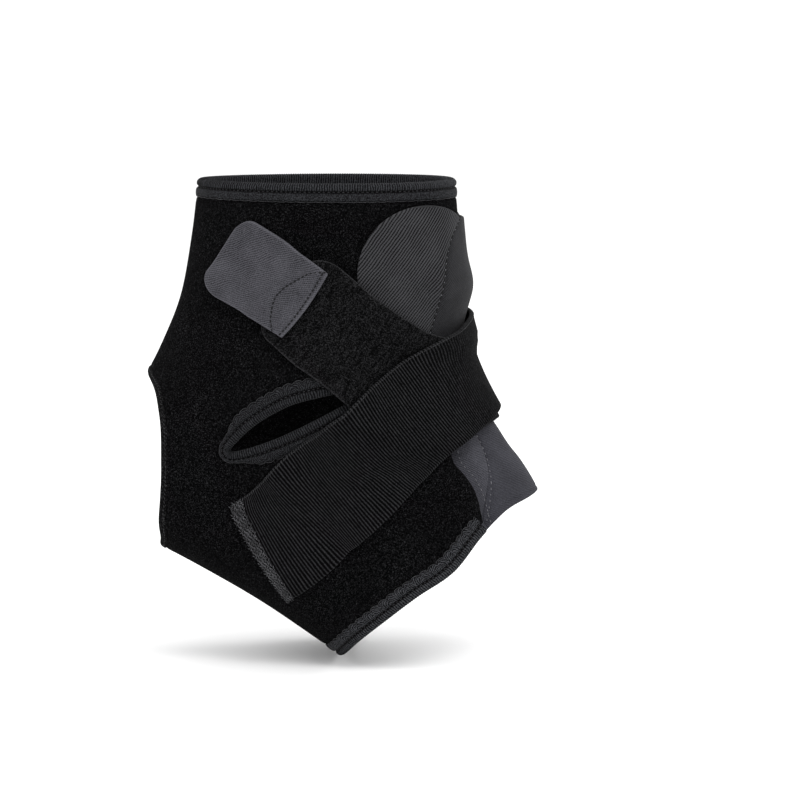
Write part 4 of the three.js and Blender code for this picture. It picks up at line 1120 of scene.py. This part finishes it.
def tab_piece(name, route, material, lifted_side):
    """The hook tab on a strap's end. It comes down to the body past the strap's end."""
    first = route.length - TAB_LENGTH
    _, distance, offset, inset = band_grid(
        route, first, route.length, TAB_WIDTH, (0.6 * MM, TAB_CORNER), 0.45 * MM, count=64, rim=0.8 * MM,
        neck=TAB_NECK_WIDTH / TAB_WIDTH)
    side = offset * lifted_side / (TAB_WIDTH / 2)
    slanted = TAB_END_SHIFT - TAB_END_SLANT * side
    distance = distance + slanted * (1 - (distance - first) / TAB_LENGTH)
    spots = route.beside(distance, offset)
    on_strap = 1 - smooth(0, LIFT_RAMP, distance - (first + TAB_OVERLAP + LIFT_MARGIN))
    low = upper_low(spots) + on_strap * (STRAP_THICKNESS + STRAP_GAP)
    low = low + TAB_LIFT * smooth(0.2, 1.0, side) * smooth(0.2, 0.7, (distance - first) / TAB_LENGTH)
    from_end = distance - first - slanted
    curved = np.abs(from_end - np.interp(0.5 + side / 2, TAB_CURVE[:, 0], TAB_CURVE[:, 1] * MM))
    seam_gap = np.minimum(np.abs(from_end - TAB_SEAM), curved)
    high = low + CLOSURE_THICKNESS - TAB_SEAM_DEPTH * np.exp(-(seam_gap / TAB_SEAM_WIDTH) ** 2)
    place = np.stack([distance, offset], -1)
    cloth = cloth_sheet(name, spots, low, high, inset, place, material)
    seams = []
    curve_share = np.linspace(0.0, 0.99, 60)
    for share, end in ((np.linspace(0.03, 0.97, 60), np.full(60, TAB_SEAM)),
                       (curve_share, np.interp(curve_share, *TAB_CURVE.T) * MM)):
        beside = (share - 0.5) * TAB_NECK_WIDTH * (1 + 0.1 * end / (10 * MM)) * lifted_side
        tilt = TAB_END_SHIFT - TAB_END_SLANT * (share - 0.5) * 2 * TAB_NECK_WIDTH / TAB_WIDTH
        line = route.beside(first + end + tilt, beside)
        height = upper_low(line) + STRAP_THICKNESS + STRAP_GAP + CLOSURE_THICKNESS - 0.16 * MM
        seams.append(seam_points(line, height, 1.6 * MM))
    stitches = sewn(name + "_stitches", seams, 1.2 * MM, 0.52 * MM, dark_thread)
    return cloth, stitches


tab_twill = twill(
    "grey tab cloth", (0.002, 0.002, 0.0028, 1), (0.078, 0.077, 0.088, 1), 0.72 * MM, 40, 0.62, 0.3, 0.5, 2.6)
upper_tab, upper_tab_stitches = tab_piece("upper_tab_cloth", upper_route, tab_twill, 1)
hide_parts("upper_strap_tab")

# The ridges and the rows of thread over a strap's end, and how the rows wander and lean
END_RIB = 0.8 * MM
END_ROWS = np.arange(0.2, 3.7, 0.38) * MM
END_ROW_WAVE = 0.3 * MM
END_ROW_SLANTS = 0.9, -0.5, 0.2, -1.1
STRAP_FACE = WALL + STRAP_GAP + STRAP_THICKNESS


def sewn_end(name, route, width, material):
    """The band of overlock thread that holds a strap's end to the body."""
    spots, distance, offset, inset = band_grid(
        route, 0, END_TAPE_WIDTH, width * STRAP_NECK, (0, 0), 0.12 * MM, count=110, rim=0.8 * MM)
    base = np.full(distance.shape, WALL + 0.4 * LAYER_GAP)
    turns = 0.5 + 0.5 * np.cos(2 * np.pi * offset / END_RIB + distance * 900)
    place = np.stack([distance, offset], -1)
    piece = cloth_sheet(name, spots, base, STRAP_FACE + 0.22 * MM * turns, inset, place, material)
    across = np.linspace(-width / 2, width / 2, 160) * 0.95
    rows = []
    for number, along in enumerate(END_ROWS):
        line = route.beside(along + END_ROW_WAVE * np.sin(across * 1900 + number * 2.4), across)
        rows.append(seam_points(
            line, STRAP_FACE + 0.12 * MM, 1.15 * MM,
            start=0.2 + 0.37 * (number % 3), slant=END_ROW_SLANTS[number % len(END_ROW_SLANTS)]))
    threads = sewn(name + "_threads", rows, 1.25 * MM, 0.24 * MM, end_thread)
    return piece, threads


end_thread = thread("grey strap end thread", (0.10, 0.10, 0.107, 1), 0.95)
overlock = twill(
    "grey overlock thread", (0.0008, 0.0008, 0.001, 1), (0.02, 0.02, 0.0215, 1), 0.8 * MM, 90, 0.9, 0.0, 0.8)
upper_end, upper_end_threads = sewn_end("upper_strap_sewn_end", upper_route, UPPER_STRAP_WIDTH, overlock)
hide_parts("upper_strap_end_tape")

# Lower strap. The second black elastic strap is sewn down low on the outer side, climbs over the upper
# strap and the front, and ends in its own grey tab on the inner side of the shin. Its ribs show.
LOWER_STRAP_ROUTE = [
    [52.2, 8.86], [61.5, 8.72], [69.9, 8.52], [79.7, 8.17], [101.9, 7.08], [119.3, 6.14], [136.3, 5.48],
    [154, 5.04], [180, 4.70], [206, 4.55], [229, 4.25], [243, 3.82], [258.4, 3.20], [274.6, 2.42],
    [294.8, 1.72], [317, 1.23],
]
LOWER_STRAP_WIDTH = 41 * MM
lower_route = Route(LOWER_STRAP_ROUTE)
upper_marks = upper_route.points[upper_route.marks < upper_route.length - TAB_LENGTH + TAB_OVERLAP]


def lower_low(spots):
    away = nearest(form(spots).reshape(-1, 3), upper_marks).reshape(spots.shape[:-1]) - UPPER_STRAP_WIDTH / 2
    rise = 1 - smooth(LIFT_MARGIN, LIFT_MARGIN + LIFT_RAMP, away)
    return upper_low(spots) + rise * (STRAP_THICKNESS + STRAP_GAP)


PLUSH_FROM, PLUSH_TO = 82 * MM, 104 * MM
lower_elastic = elastic(
    "black ribbed elastic", (0.0006, 0.0006, 0.0007, 1), (0.023, 0.023, 0.0245, 1), PLUSH_FROM, PLUSH_TO)
lower_strap = strap_piece(
    "lower_strap_band", lower_route, LOWER_STRAP_WIDTH, lower_low,
    lambda distance: smooth(PLUSH_FROM, PLUSH_TO, distance), lower_elastic)
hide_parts("lower_strap")
selvedge_at = np.linspace(END_TAPE_WIDTH, lower_route.length - TAB_LENGTH - 4 * MM, 600)
widening = STRAP_NECK + (1 - STRAP_NECK) * np.clip(selvedge_at / STRAP_NECK_LENGTH, 0, 1)
selvedge = lower_route.beside(selvedge_at, LOWER_STRAP_WIDTH / 2 * widening - 0.55 * MM)
selvedge_stitches = sewn("lower_strap_selvedge", [
    seam_points(selvedge, lower_low(selvedge) + STRAP_THICKNESS - STRAP_RIB_SINK, STRAP_RIB, slant=0.6)],
    0.85 * MM, 0.24 * MM, black_grey_thread)
lower_tab, lower_tab_stitches = tab_piece("lower_tab_cloth", lower_route, tab_twill, -1)
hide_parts("lower_strap_tab")
lower_end, lower_end_threads = sewn_end("lower_strap_sewn_end", lower_route, LOWER_STRAP_WIDTH, overlock)
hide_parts("lower_strap_end_tape")
